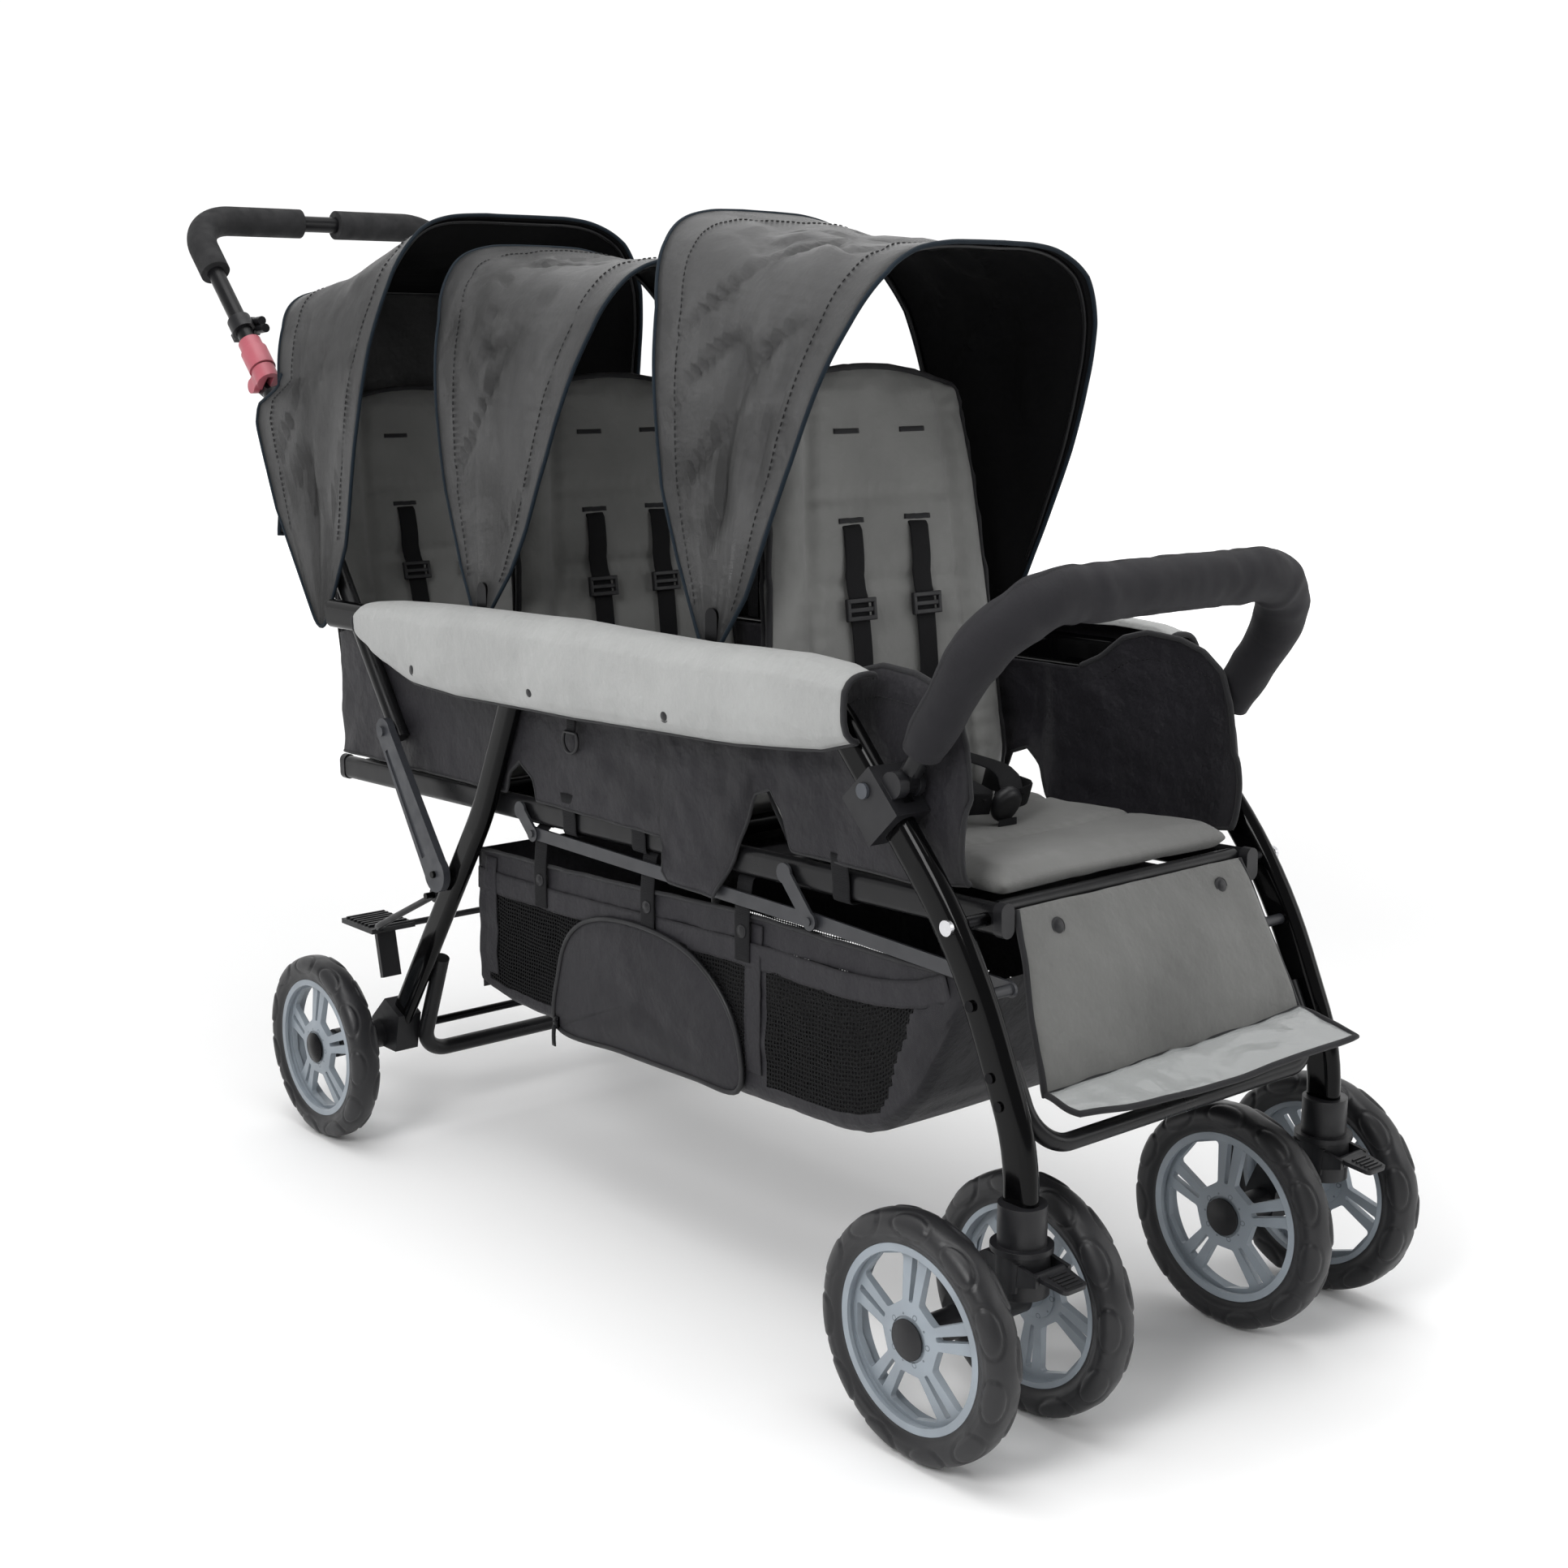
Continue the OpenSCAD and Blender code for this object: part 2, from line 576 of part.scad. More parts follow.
// Parking brake: a bent rod hinged on the rear legs, with a ribbed foot plate and its locking prong
module brake_pedal() {
  x = leg_in - 6.5;
  tip = along(brake_pivot, brake_angle, brake_l);
  color("#1f1f22") {
    for (s = [right, left]) difference() {
      cross_rod(brake_pivot, s * (leg_in - 3), s * (leg_in - 10), 9);
      cross_rod(brake_pivot, s * leg_in, s * (leg_in - 12), stud_r + fit);
    }
    leaning(brake_pivot, brake_angle)
      bend_path([[-x, 8], [-x, brake_l], [x, brake_l], [x, 8]], [0, 30, 30, 0], 8, 8);
    translate([-x, tip.x - 6, tip.y - 4]) {
      cube([62, 76, 6]);
      for (k = [0 : 6]) translate([4, 14 + k * 9, 6]) cube([54, 3, 2.5]);
      translate([8, 2, 2]) rotate([-12, 0, 0]) translate([0, 0, -58]) cube([26, 7, 58]);
    }
  }
}

// Tyre with round shoulders and half-moon lugs alternating on its two sides
module tyre() {
  shoulder = 14;
  color("#222224") rotate([0, 90, 0]) rotate_extrude($fn = 72) {
    for (s = [-1, 1]) translate([wheel_r - shoulder, s * (tyre_w / 2 - shoulder)]) circle(r = shoulder);
    translate([wheel_r - shoulder, -tyre_w / 2 + shoulder]) square([shoulder, tyre_w - 2 * shoulder]);
    translate([rim_r + 0.1, -13]) square([wheel_r - shoulder - rim_r, 26]);
  }
}

// Rim with five dished twin spokes: a revolved shell pierced by windows and slots
module rim(s) {
  bead = 5;
  function polar(r, a) = r * [cos(a), sin(a)];
  step = 360 / spoke_pairs;
  edge = rim_r - bead - 4;
  color("#9aa8b2") rotate([0, s * 90, 0]) difference() {
    union() {
      rotate_extrude($fn = 72) {
        translate([rim_r - bead, -13]) square([bead, 26]);
        translate([rim_r - bead - 2, 9]) square([bead + 2, 4]);
        polygon([[20, 12], [rim_r - bead, 4], [rim_r - bead, -2], [20, 4]]);
      }
      translate([0, 0, -hub_half]) cylinder(r = 13, h = 2 * hub_half);
      translate([0, 0, 2]) cylinder(r = 24, h = hub_half - 4);
    }
    for (k = [0 : spoke_pairs - 1]) rotate(k * step) {
      translate([0, 0, -9]) linear_extrude(40)
        soft_polygon([polar(36, 22), polar(edge - 5, 15), polar(edge - 2, step / 2), polar(edge - 5, step - 15),
          polar(36, step - 22)], 3.5);
      translate([0, 0, -9]) linear_extrude(40)
        soft_polygon([[34, -0.6], [edge - 4, -1.8], [edge - 4, 1.8], [34, 0.6]], 1.6);
    }
    translate([0, 0, -hub_half - 1]) cylinder(r = axle_d / 2 + fit, h = 2 * hub_half + 2);
  }
}

function twin_x(s, k) = s * (rail_x + k * twin_pitch / 2);

module front_wheel_at(s, k) {
  translate([twin_x(s, k), front_axle_y, wheel_r]) children();
}

module rear_wheel_at(s) {
  translate([s * rear_wheel_x, rear_axle_y, wheel_r]) children();
}

// Caster: swivel head, curved arm between the twin wheels and the axle that carries them
module caster_fork(s) {
  reach = twin_pitch / 2 - hub_half - gap;
  end = twin_pitch / 2 + hub_half + gap;
  lug = [caster_y - 31, 172];
  translate([s * rail_x, 0, 0]) {
    color("#1c1c1f") {
      translate([0, caster_y, 148]) cylinder(r = 24, h = 38);
      translate([0, caster_y, 150]) cylinder(r = 6, h = 54);
      side_view(-22) linear_extrude(44)
        polygon([[caster_y - 16, 182], [caster_y + 22, 184], [caster_y + 50, 166], [front_axle_y + 20, 118],
          [front_axle_y + 12, 94], [front_axle_y - 12, 94], [front_axle_y - 16, 124], [caster_y + 8, 146], [caster_y - 14, 156]]);
      cross_rod([front_axle_y, wheel_r], -reach, reach, 14);
      for (e = [-1, 1]) side_view(e > 0 ? 17.5 : -21.5) linear_extrude(4)
        polygon([[caster_y - 8, 182], [caster_y - 8, 160], [lug.x - 5, lug.y - 4], [lug.x - 5, lug.y + 5]]);
      cross_rod(lug, -18, 18, 2.5);
    }
    color("#8f9296") cross_rod([front_axle_y, wheel_r], -end, end, axle_d / 2);
    color("#1b1b1d") for (e = [-1, 1]) translate([e * end, front_axle_y, wheel_r]) axle_cap(e);
  }
}

// Ribbed pedal that locks a caster straight ahead
module swivel_lock(s) {
  lug = [caster_y - 31, 172];
  color("#2a2a2d") translate([s * rail_x, lug.x, lug.y]) difference() {
    union() {
      cross_rod([0, 0], -17, 17, 5.5);
      translate([0, 0, 1]) rotate([10, 0, 0]) {
        linear_extrude(4) soft_polygon([[-9, -26], [9, -26], [12, -6], [-12, -6]], 5);
        for (k = [0 : 4]) translate([-10, -28 + k * 4.5, 4]) cube([20, 2, 1.5]);
      }
    }
    cross_rod([0, 0], -18, 18, 2.5 + fit);
  }
}

// Handle stays, hinged on the side rails, with the flattened ear of the upper hinge
module handle_stays() {
  color("#1b1b1d") for (s = [right, left]) {
    difference() {
      translate([s * leg_x, 0, 0]) leaning(stay_pivot, stay_angle) rotate([-90, 0, 0])
        translate([0, 0, -stay_tail - 12]) cylinder(d = tube_d, h = stay_tail + 12 + stay_top);
      cross_rod(stay_pivot, s * (stay_in - 1), s * (stay_out + 1), stud_r + fit);
    }
    translate([s * leg_x, 0, 0]) leaning(stay_pivot, stay_angle) rotate([-90, 0, 0])
      translate([0, 0, stay_top - 22]) difference() {
        cylinder(r = tube_d / 2 + 4, h = 26);
        translate([0, 0, -1]) cylinder(d = tube_d, h = 23);
      }
    side_view(s * leg_x - 4) linear_extrude(8) difference() {
      union() {
        translate(grip_pin) circle(r = 9);
        polygon([along(stay_head, stay_angle - 90, -2), along(stay_head, stay_angle - 90, 14),
          along(grip_pin, stay_angle - 90, 8.5), along(grip_pin, stay_angle + 90, 8.5)]);
      }
      translate(grip_pin) circle(r = stud_r + fit);
    }
    cross_rod(along(stay_pivot, stay_angle, rear_canopy_pin_l), s * leg_x,
      s * (rear_canopy_w / 2 - canopy_t - gap), 8);
  }
}

// Upper handle: one round tube bent into a U
module push_handle() {
  color("#1b1b1d") leaning(grip_foot, grip_angle)
    bend_path([[-leg_x, 0], [-leg_x, grip_l], [leg_x, grip_l], [leg_x, 0]], [0, 55, 55, 0], tube_d, tube_d);
}

// Two foam grips round the corners of the upper handle
module foam_grips() {
  grip_start = grip_l - 96;
  grip_end = 27;
  color("#2c2c2e") leaning(grip_foot, grip_angle) for (s = [right, left]) {
    p = [[s * leg_x, grip_start], [s * leg_x, grip_l], [s * grip_end, grip_l]];
    difference() {
      bend_path(p, [0, 55, 0], grip_d, grip_d);
      bend_path([p[0] - [0, 5], p[1], p[2] - [s * 5, 0]], [0, 55, 0], tube_d + 0.1, tube_d + 0.1);
    }
  }
}

// Hinge housings at the foot of the upper handle, with the pins they turn on
module handle_joints() {
  color("#b5626b") for (s = [right, left]) {
    difference() {
      union() {
        translate([s * leg_x, 0, 0]) leaning(grip_foot, grip_angle) rotate([-90, 0, 0])
          translate([0, 0, -12]) cylinder(r = 15, h = 20);
        cross_rod(grip_pin, s * leg_x - 13, s * leg_x + 13, 9);
        side_view(s * leg_x - 13) linear_extrude(26)
          polygon([along(grip_foot, grip_angle, -8), along(grip_pin, grip_angle, -8), along(grip_pin, grip_angle, 8),
            along(grip_foot, grip_angle, 7)]);
      }
      translate([s * leg_x, 0, 0]) leaning(grip_foot, grip_angle) rotate([-90, 0, 0]) cylinder(d = tube_d, h = 40);
      side_view(s * leg_x - 4.5) linear_extrude(9) {
        translate(grip_pin) circle(r = 13);
        translate(grip_pin) rotate(stay_angle) translate([-40, -30]) square([40, 60]);
      }
    }
    cross_rod(grip_pin, s * leg_x - 13, s * leg_x + 13, stud_r);
  }
}

// Clamps with two upright posts above the hinge housings
module handle_clips() {
  color("#2a2a2d") leaning(grip_foot, grip_angle) for (s = [right, left]) {
    translate([s * leg_x, 74, 0]) rotate([-90, 0, 0]) difference() {
      union() {
        cylinder(r = 15, h = 20);
        translate([-5, 10, 4]) cube([10, 13, 12]);
      }
      translate([0, 0, -1]) cylinder(d = tube_d + 0.1, h = 22);
    }
    for (k = [0, 1]) translate([s * (leg_x - 19), 78 + k * 13, 0]) rotate([40, 0, 0]) cylinder(r = 5.5, h = 24);
    translate([s * (leg_x - 17) - 5, 72, -4]) cube([10, 24, 8]);
  }
}

// Sliding sleeve that frees the handle hinge when it is pulled up
module fold_latch(s) {
  color("#b5626b") translate([s * leg_x, 0, 0]) leaning(grip_foot, grip_angle) rotate([-90, 0, 0])
    translate([0, 0, 9.4]) difference() {
      union() {
        cylinder(r = 17, h = 30);
        cylinder(r = 14.5, h = 46);
      }
      translate([0, 0, -1]) cylinder(d = tube_d + 2 * gap, h = 50);
    }
}

// Ribbed brace from each rear leg up to the foot of the handle stay
module braces() {
  head = stay_foot;
  d = (head - brace_foot) / norm(head - brace_foot);
  n = [-d.y, d.x];
  t = 9;
  inner = max(leg_out, stay_out) + 1.5;
  color("#34363a") for (s = [right, left]) {
    difference() {
      side_view(s > 0 ? inner : -inner - t) linear_extrude(t) {
        translate(head) circle(r = 15);
        translate(brace_foot) circle(r = 21);
        polygon([brace_foot - n * 20, head - n * 14, head + n * 14, brace_foot + n * 20]);
      }
      cross_rod(brace_foot, s * (inner - 1), s * (inner + t + 1), stud_r + fit);
      side_view(s > 0 ? inner + t - 2 : -inner - t - 1) linear_extrude(3)
        polygon([brace_foot + d * 26 - n * 13, head - d * 22 - n * 10, head - d * 22 - n * 4, brace_foot + d * 26 - n * 4]);
    }
    cross_rod(head, s * (inner + t), s * (inner + t + 4), 6);
  }
}

// Bumper bar tube with the tongues that turn in its sockets
module bumper_bar() {
  color("#1b1b1d") leaning(bumper_pivot, bumper_angle) {
    bend_path([[-bumper_x, 14], [-bumper_x, bumper_l], [bumper_x, bumper_l], [bumper_x, 14]],
      [0, 85, 85, 0], bumper_tube_d, bumper_tube_d);
    for (s = [right, left]) translate([s * bumper_x, 0, 0]) difference() {
      union() {
        cross_rod([0, 0], -6, 6, 9);
        translate([-6, 0, -8]) cube([12, 18, 16]);
      }
      cross_rod([0, 0], -7, 7, 4 + fit);
    }
  }
}

// Padded sleeve over the bumper bar
module bumper_cover() {
  color("#2e2d30") leaning(bumper_pivot, bumper_angle) difference() {
    bend_path([[-bumper_x, 34], [-bumper_x, bumper_l], [bumper_x, bumper_l], [bumper_x, 34]],
      [0, 85, 85, 0], bumper_cover_d, bumper_cover_d);
    bend_path([[-bumper_x, 14], [-bumper_x, bumper_l], [bumper_x, bumper_l], [bumper_x, 14]],
      [0, 85, 85, 0], bumper_tube_d + 0.1, bumper_tube_d + 0.1);
  }
}

// Half width of a backrest at height share h, with round upper corners
function back_half(h) = back_w / 2 * mix(1, 0.78, pow(h, 1.6)) * mix(0.72, 1, bulge(h, 7));

// Places children in the frame of backrest i: origin on its hinge, z up along the pad
module at_backrest(i) {
  translate([0, back_y(i), seat_rail_z(back_y(i))]) rotate([-back_rake[i], 0, 0]) children();
}

// Backrest: padded board on a hinge bar with two steel straps behind it
module backrest(i) {
  foot = 17;
  pad = function(u, v, side)
    let (a = u * 2 - 1, b = v * 2 - 1,
      crown = bulge(a, 6) * bulge(b, 9),
      groove = 4 * (dip(abs(a), 0.667, 0.05) + dip(v, 0.3, 0.02) + dip(v, 0.6, 0.02)) * crown)
    [a * back_half(v) * mix(0.97, 1, pow(abs(b), 4)),
      side == 1 ? -back_t / 2 * mix(0.3, 0.94, crown) + groove : back_t / 2 * mix(0.4, 1, crown),
      foot + v * back_h * mix(0.97, 1, 1 - a * a)];
  at_backrest(i) {
    color("#6f6f6d") skin(12, 20, pad);
    color("#1b1b1d") {
      difference() {
        rotate([0, 90, 0]) translate([0, 0, -back_w / 2]) cylinder(r = 8, h = back_w);
        for (s = [-1, 1]) cross_rod([0, 0], s * (back_w / 2 - 14), s * (back_w / 2 + 1), stud_r + fit);
      }
      for (s = [-1, 1]) translate([s * 110 - 10, back_t / 2 + gap, 0]) cube([20, 3, 130]);
      for (s = [-1, 1]) translate([s * 110 - 10, 4, 4]) cube([20, back_t / 2 + gap - 1, 4]);
    }
  }
}

// Canopy cloth between its two bows, as one shell with its real openings front and rear
module canopy(i) {
  half = (i == 2 ? rear_canopy_w : canopy_w) / 2;
  tip = canopy_tip[i];
  shell = function(u, v, side)
    let (a = 180 * u, c = cos(a), h = pow(abs(sin(a)), canopy_arch[i]),
      x = half * sign(c) * pow(abs(c), canopy_arch[i]),
      top = mix(canopy_rear[i], canopy_front[i], v),
      lean = top.x * pow(h, canopy_lean[i]),
      sag = 5 * sin(180 * v) * h)
    [-x * (side == 1 ? 1 : (half - canopy_t) / half),
      tip.x + lean + mix(8, -8, v),
      tip.y + h * (top.y - sag) - (side == 1 ? 0 : canopy_t * h)];
  color("#4a4a4a") skin(24, 5, shell);
}

// Shoulder straps with sliders on the face of a backrest
module harness(i) {
  lie = -back_t / 2 * 0.94 - gap;
  color("#18181a") at_backrest(i) for (s = [-1, 1]) {
    translate([s * 44 - webbing_w / 2, lie - 1.6, 130]) cube([webbing_w, 1.6, 190]);
    translate([s * 44 - 17, lie - 6, 210]) cube([34, 4.4, 22]);
  }
}

side_frame(right);  // side_frame_right
side_frame(left);  // side_frame_left
seat_rails();
rail_end_caps();
seat_cross_tubes();
link_bars();
armrest_pads();
side_panels();
basket();
footrest_tube();
calf_panel();
foot_flap();
seat_cushion(0);  // seat_cushion_front
seat_cushion(1);  // seat_cushion_middle
seat_cushion(2);  // seat_cushion_rear
fasteners();
bumper_sockets();
caster_collars();
rear_legs();
rear_cross_tube();
rear_axle();
axle_brackets();
brake_pedal();
rear_wheel_at(right) tyre();  // rear_tyre_right
rear_wheel_at(right) rim(right);  // rear_rim_right
rear_wheel_at(left) tyre();  // rear_tyre_left
rear_wheel_at(left) rim(left);  // rear_rim_left
caster_fork(right);  // caster_fork_right
caster_fork(left);  // caster_fork_left
swivel_lock(right);  // swivel_lock_right
swivel_lock(left);  // swivel_lock_left
front_wheel_at(right, 1) tyre();  // front_tyre_right_outer
front_wheel_at(right, 1) rim(right);  // front_rim_right_outer
front_wheel_at(right, -1) tyre();  // front_tyre_right_inner
front_wheel_at(right, -1) rim(left);  // front_rim_right_inner
front_wheel_at(left, -1) tyre();  // front_tyre_left_inner
front_wheel_at(left, -1) rim(right);  // front_rim_left_inner
front_wheel_at(left, 1) tyre();  // front_tyre_left_outer
front_wheel_at(left, 1) rim(left);  // front_rim_left_outer
handle_stays();
push_handle();
foam_grips();
handle_joints();
handle_clips();
fold_latch(right);  // fold_latch_right
fold_latch(left);  // fold_latch_left
braces();
bumper_bar();
bumper_cover();
bumper_button(right);  // bumper_button_right
bumper_button(left);  // bumper_button_left
backrest(0);  // backrest_front
backrest(1);  // backrest_middle
backrest(2);  // backrest_rear
canopy(0);  // canopy_front
canopy(1);  // canopy_middle
canopy(2);  // canopy_rear
harness(0);  // harness_front
harness(1);  // harness_middle
harness(2);  // harness_rear
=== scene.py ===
# %% [markdown]
# # Dressing a three-seat tandem stroller
# The frame, wheels and hinges come from the CAD model and stay where they are. This lesson gives each of
# them a finish, and makes the soft goods, which no CAD solid can show well: seats, hoods, pads, basket and straps.
# Lengths are written in millimetres, as on a maker's drawing, and become metres when a mesh is made.

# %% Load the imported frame
import json
import math

import bpy
import numpy as np
from mathutils import Matrix, Vector, noise


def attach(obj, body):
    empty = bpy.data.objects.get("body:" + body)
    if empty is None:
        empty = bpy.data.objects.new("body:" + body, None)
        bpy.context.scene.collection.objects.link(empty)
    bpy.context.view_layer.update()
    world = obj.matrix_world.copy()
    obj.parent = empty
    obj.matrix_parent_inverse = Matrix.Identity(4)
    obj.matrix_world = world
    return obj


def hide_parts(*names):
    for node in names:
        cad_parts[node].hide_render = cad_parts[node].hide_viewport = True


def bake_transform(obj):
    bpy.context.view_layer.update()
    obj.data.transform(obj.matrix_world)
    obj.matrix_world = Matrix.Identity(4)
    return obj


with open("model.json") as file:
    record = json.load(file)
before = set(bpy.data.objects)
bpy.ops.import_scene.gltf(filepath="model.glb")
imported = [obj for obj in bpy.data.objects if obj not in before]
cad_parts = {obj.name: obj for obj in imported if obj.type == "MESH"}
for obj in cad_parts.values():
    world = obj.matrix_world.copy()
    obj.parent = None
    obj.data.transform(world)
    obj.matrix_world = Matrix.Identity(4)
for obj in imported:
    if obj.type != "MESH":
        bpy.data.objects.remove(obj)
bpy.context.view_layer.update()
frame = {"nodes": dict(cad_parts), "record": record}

# %% [markdown]
# The camera stands where the photographer stood: left of the front wheels, a little above the seats. Its place was
# found from the wheel rims, which are circles of known size. A small shift puts the crop right.

# %% Camera
azimuth, elevation, roll = math.radians(-38.97), math.radians(10.68), math.radians(-0.276)
back = Vector((math.sin(azimuth) * math.cos(elevation), -math.cos(azimuth) * math.cos(elevation), math.sin(elevation)))
level = Vector((math.cos(azimuth), math.sin(azimuth), 0))
right = level * math.cos(roll) + back.cross(level) * math.sin(roll)
up = back.cross(right)
camera = bpy.data.objects.new("camera", bpy.data.cameras.new("camera"))
camera.data.lens = 49.94
camera.data.shift_x = 0.0390
camera.data.shift_y = -0.0101
camera.data.clip_end = 100
camera.matrix_world = Matrix(((right.x, up.x, back.x, -1.4754), (right.y, up.y, back.y, -1.9108),
                              (right.z, up.z, back.z, 0.9174), (0, 0, 0, 1)))
bpy.context.scene.collection.objects.link(camera)
bpy.context.scene.camera = camera
print("camera looks along", [round(-x, 3) for x in back])

# %% [markdown]
# The room is a plain pale floor under a large overhead softbox, with a key from the camera's left and a fill from
# the right. Black cloth and gloss tubes show their shape only by what they reflect, so the lamps are big and near.

# %% Floor and studio light
scene = bpy.context.scene
scene.view_settings.view_transform = "Standard"
world = bpy.data.worlds.new("studio")
scene.world = world
world.use_nodes = True
world.node_tree.nodes["Background"].inputs["Color"].default_value = (1.0, 1.0, 1.0, 1)
sky = world.node_tree.nodes
toward = sky.new("ShaderNodeTexCoord")
facing = sky.new("ShaderNodeVectorMath")
facing.operation = "DOT_PRODUCT"
facing.inputs[1].default_value = (0.61, 0.78, -0.1)
fall = sky.new("ShaderNodeMapRange")
fall.interpolation_type = "SMOOTHSTEP"
for key, value in (("From Min", -0.35), ("From Max", 0.45), ("To Min", 0.34), ("To Max", 1.06)):
    fall.inputs[key].default_value = value
world.node_tree.links.new(toward.outputs["Generated"], facing.inputs[0])
world.node_tree.links.new(facing.outputs["Value"], fall.inputs["Value"])
world.node_tree.links.new(fall.outputs["Result"], sky["Background"].inputs["Strength"])


def lamp(name, place, target, size, watts):
    light = bpy.data.lights.new(name, "AREA")
    light.size, light.energy = size, watts
    obj = bpy.data.objects.new(name, light)
    obj.location = place
    obj.rotation_euler = (Vector(place) - Vector(target)).to_track_quat("Z", "Y").to_euler()
    scene.collection.objects.link(obj)


lamp("overhead", (-0.3, -0.4, 3.2), (0, 0, 0.3), 2.6, 60)
lamp("key", (-2.6, -1.2, 2.3), (0, 0, 0.6), 1.2, 48)
lamp("fill", (2.0, -2.8, 1.6), (0, -0.3, 0.4), 1.6, 16)

floor = bpy.data.objects.new("floor", bpy.data.meshes.new("floor"))
floor.data.from_pydata([(-30, -30, 0), (30, -30, 0), (30, 30, 0), (-30, 30, 0)], [], [(0, 1, 2, 3)])
scene.collection.objects.link(floor)

# %% [markdown]
# A finish is a small tree of shader nodes. These helpers keep the trees short: one makes a material with its plain
# values set on the shader, one adds a node, and two make the things nearly every finish here needs: a little
# unevenness of colour, and fine relief that the light can catch.

# %% Helpers for finishes


def finish(name, color, roughness, **sockets):
    material = bpy.data.materials.new(name)
    material.use_nodes = True
    shader = material.node_tree.nodes["Principled BSDF"]
    shader.inputs["Base Color"].default_value = (*color, 1)
    shader.inputs["Roughness"].default_value = roughness
    for socket, value in sockets.items():
        shader.inputs[socket.replace("_", " ")].default_value = value
    return material


def node(material, kind, inputs=None, **settings):
    made = material.node_tree.nodes.new(kind)
    for key, value in settings.items():
        setattr(made, key, value)
    for key, value in (inputs or {}).items():
        if isinstance(value, bpy.types.NodeSocket):
            material.node_tree.links.new(value, made.inputs[key])
        else:
            made.inputs[key].default_value = value
    return made


def clouds(material, scale, detail=3.0, where="Object", stretch=None):
    """Soft random values between 0 and 1, in lumps of about 1/scale metres."""
    place = node(material, "ShaderNodeTexCoord").outputs[where]
    if stretch:
        place = node(material, "ShaderNodeMapping", {"Vector": place, "Scale": stretch}).outputs[0]
    return node(material, "ShaderNodeTexNoise", {"Vector": place, "Scale": scale, "Detail": detail}).outputs["Fac"]


def paint(material, socket, target="Base Color"):
    """Feeds one socket into the shader's input of that name."""
    material.node_tree.links.new(socket, material.node_tree.nodes["Principled BSDF"].inputs[target])


def uneven(material, color, spread, scale):
    """Lets the colour drift between a darker and a lighter tone."""
    dark = [c * (1 - spread) for c in color]
    light = [min(1, c * (1 + spread)) for c in color]
    ramp = node(material, "ShaderNodeValToRGB", {"Fac": clouds(material, scale)})
    ramp.color_ramp.elements[0].position, ramp.color_ramp.elements[1].position = 0.35, 0.65
    ramp.color_ramp.elements[0].color, ramp.color_ramp.elements[1].color = (*dark, 1), (*light, 1)
    paint(material, ramp.outputs["Color"])


def relief(material, *layers):
    """Adds bump layers, each a height and its depth in metres, to the shader's normal."""
    normal = None
    for height, depth in layers:
        inputs = {"Height": height, "Distance": depth, "Strength": 1.0}
        if normal:
            inputs["Normal"] = normal
        normal = node(material, "ShaderNodeBump", inputs).outputs["Normal"]
    paint(material, normal, "Normal")


def sine(material, value, pitch):
    scaled = node(material, "ShaderNodeMath", {0: value, 1: 2 * math.pi / pitch}, operation="MULTIPLY").outputs[0]
    return node(material, "ShaderNodeMath", {0: scaled}, operation="SINE").outputs[0]


def threads(material, pitch, where="UV", axes="XY", twill=0.0):
    """A plain weave: two crossed rows of threads, pitch metres apart, with an optional diagonal rib."""
    place = node(material, "ShaderNodeTexCoord").outputs[where]
    split = node(material, "ShaderNodeSeparateXYZ", {"Vector": place})
    a, b = split.outputs[axes[0]], split.outputs[axes[1]]
    if twill:
        lean = node(material, "ShaderNodeMath", {0: a, 1: twill}, operation="MULTIPLY").outputs[0]
        b = node(material, "ShaderNodeMath", {0: b, 1: lean}, operation="ADD").outputs[0]
    return node(material, "ShaderNodeMath", {0: sine(material, a, pitch), 1: sine(material, b, pitch)},
                operation="MULTIPLY").outputs[0]


# %% [markdown]
# Cloth. Every cloth here is a woven polyester, and differs in colour, sheen and how much it creases. The weave is
# relief, not colour: crossed threads about a millimetre apart, over broad shallow clouds that read as handling.
# Sheen gives the pale edge that a fibre surface shows where it turns away. The backrest's lighter grey is painted
# light.

# %% Cloth finishes


def cloth(name, color, roughness, pitch, crease, where="UV", axes="XY", sheen=0.25, spread=0.12, specular=0.3):
    material = finish(name, color, roughness, Sheen_Weight=sheen, Sheen_Roughness=0.5, Specular_IOR_Level=specular)
    uneven(material, color, spread, 9)
    relief(material, (clouds(material, 26, 4), crease), (clouds(material, 90, 2), crease * 0.25),
           (threads(material, pitch, where, axes), 0.00012))
    return material


seat_grey = cloth("seat_grey", (0.155, 0.155, 0.15), 0.62, 0.0011, 0.0016, "Object", "XY", sheen=0.2)
# The backrest is the cushion's cloth painted a lighter grey: painted light, not a paler fabric.
back_grey_painted_light = cloth("back_grey_painted_light", (0.185, 0.186, 0.18), 0.55, 0.0011, 0.003, "Object", "XZ", sheen=0.2, specular=0.4)
pad_grey = cloth("pad_grey", (0.33, 0.335, 0.33), 0.5, 0.0011, 0.006, sheen=0.2, spread=0.06, specular=0.4)
calf_grey = cloth("calf_grey", (0.125, 0.126, 0.121), 0.5, 0.0011, 0.005, sheen=0.15)
panel_black = cloth("panel_black", (0.012, 0.0112, 0.0145), 0.5, 0.0012, 0.006, sheen=0.02, specular=0.3)
hood_lining = cloth("hood_lining", (0.004, 0.004, 0.0045), 0.8, 0.0011, 0.002, sheen=0.0, specular=0.1)
sleeve_black = cloth("sleeve_black", (0.015, 0.0145, 0.017), 0.66, 0.001, 0.0016, sheen=0.03, specular=0.15)
binding_black = cloth("binding_black", (0.012, 0.012, 0.014), 0.7, 0.0008, 0.0003, "Object", "YZ", sheen=0.08)
binding_navy = cloth("binding_navy", (0.005, 0.011, 0.018), 0.6, 0.0008, 0.0003, "Object", "YZ", sheen=0.02,
                     specular=0.15)
webbing = cloth("webbing", (0.006, 0.006, 0.007), 0.62, 0.0016, 0.0002, "Object", "XZ", sheen=0.02, specular=0.12)
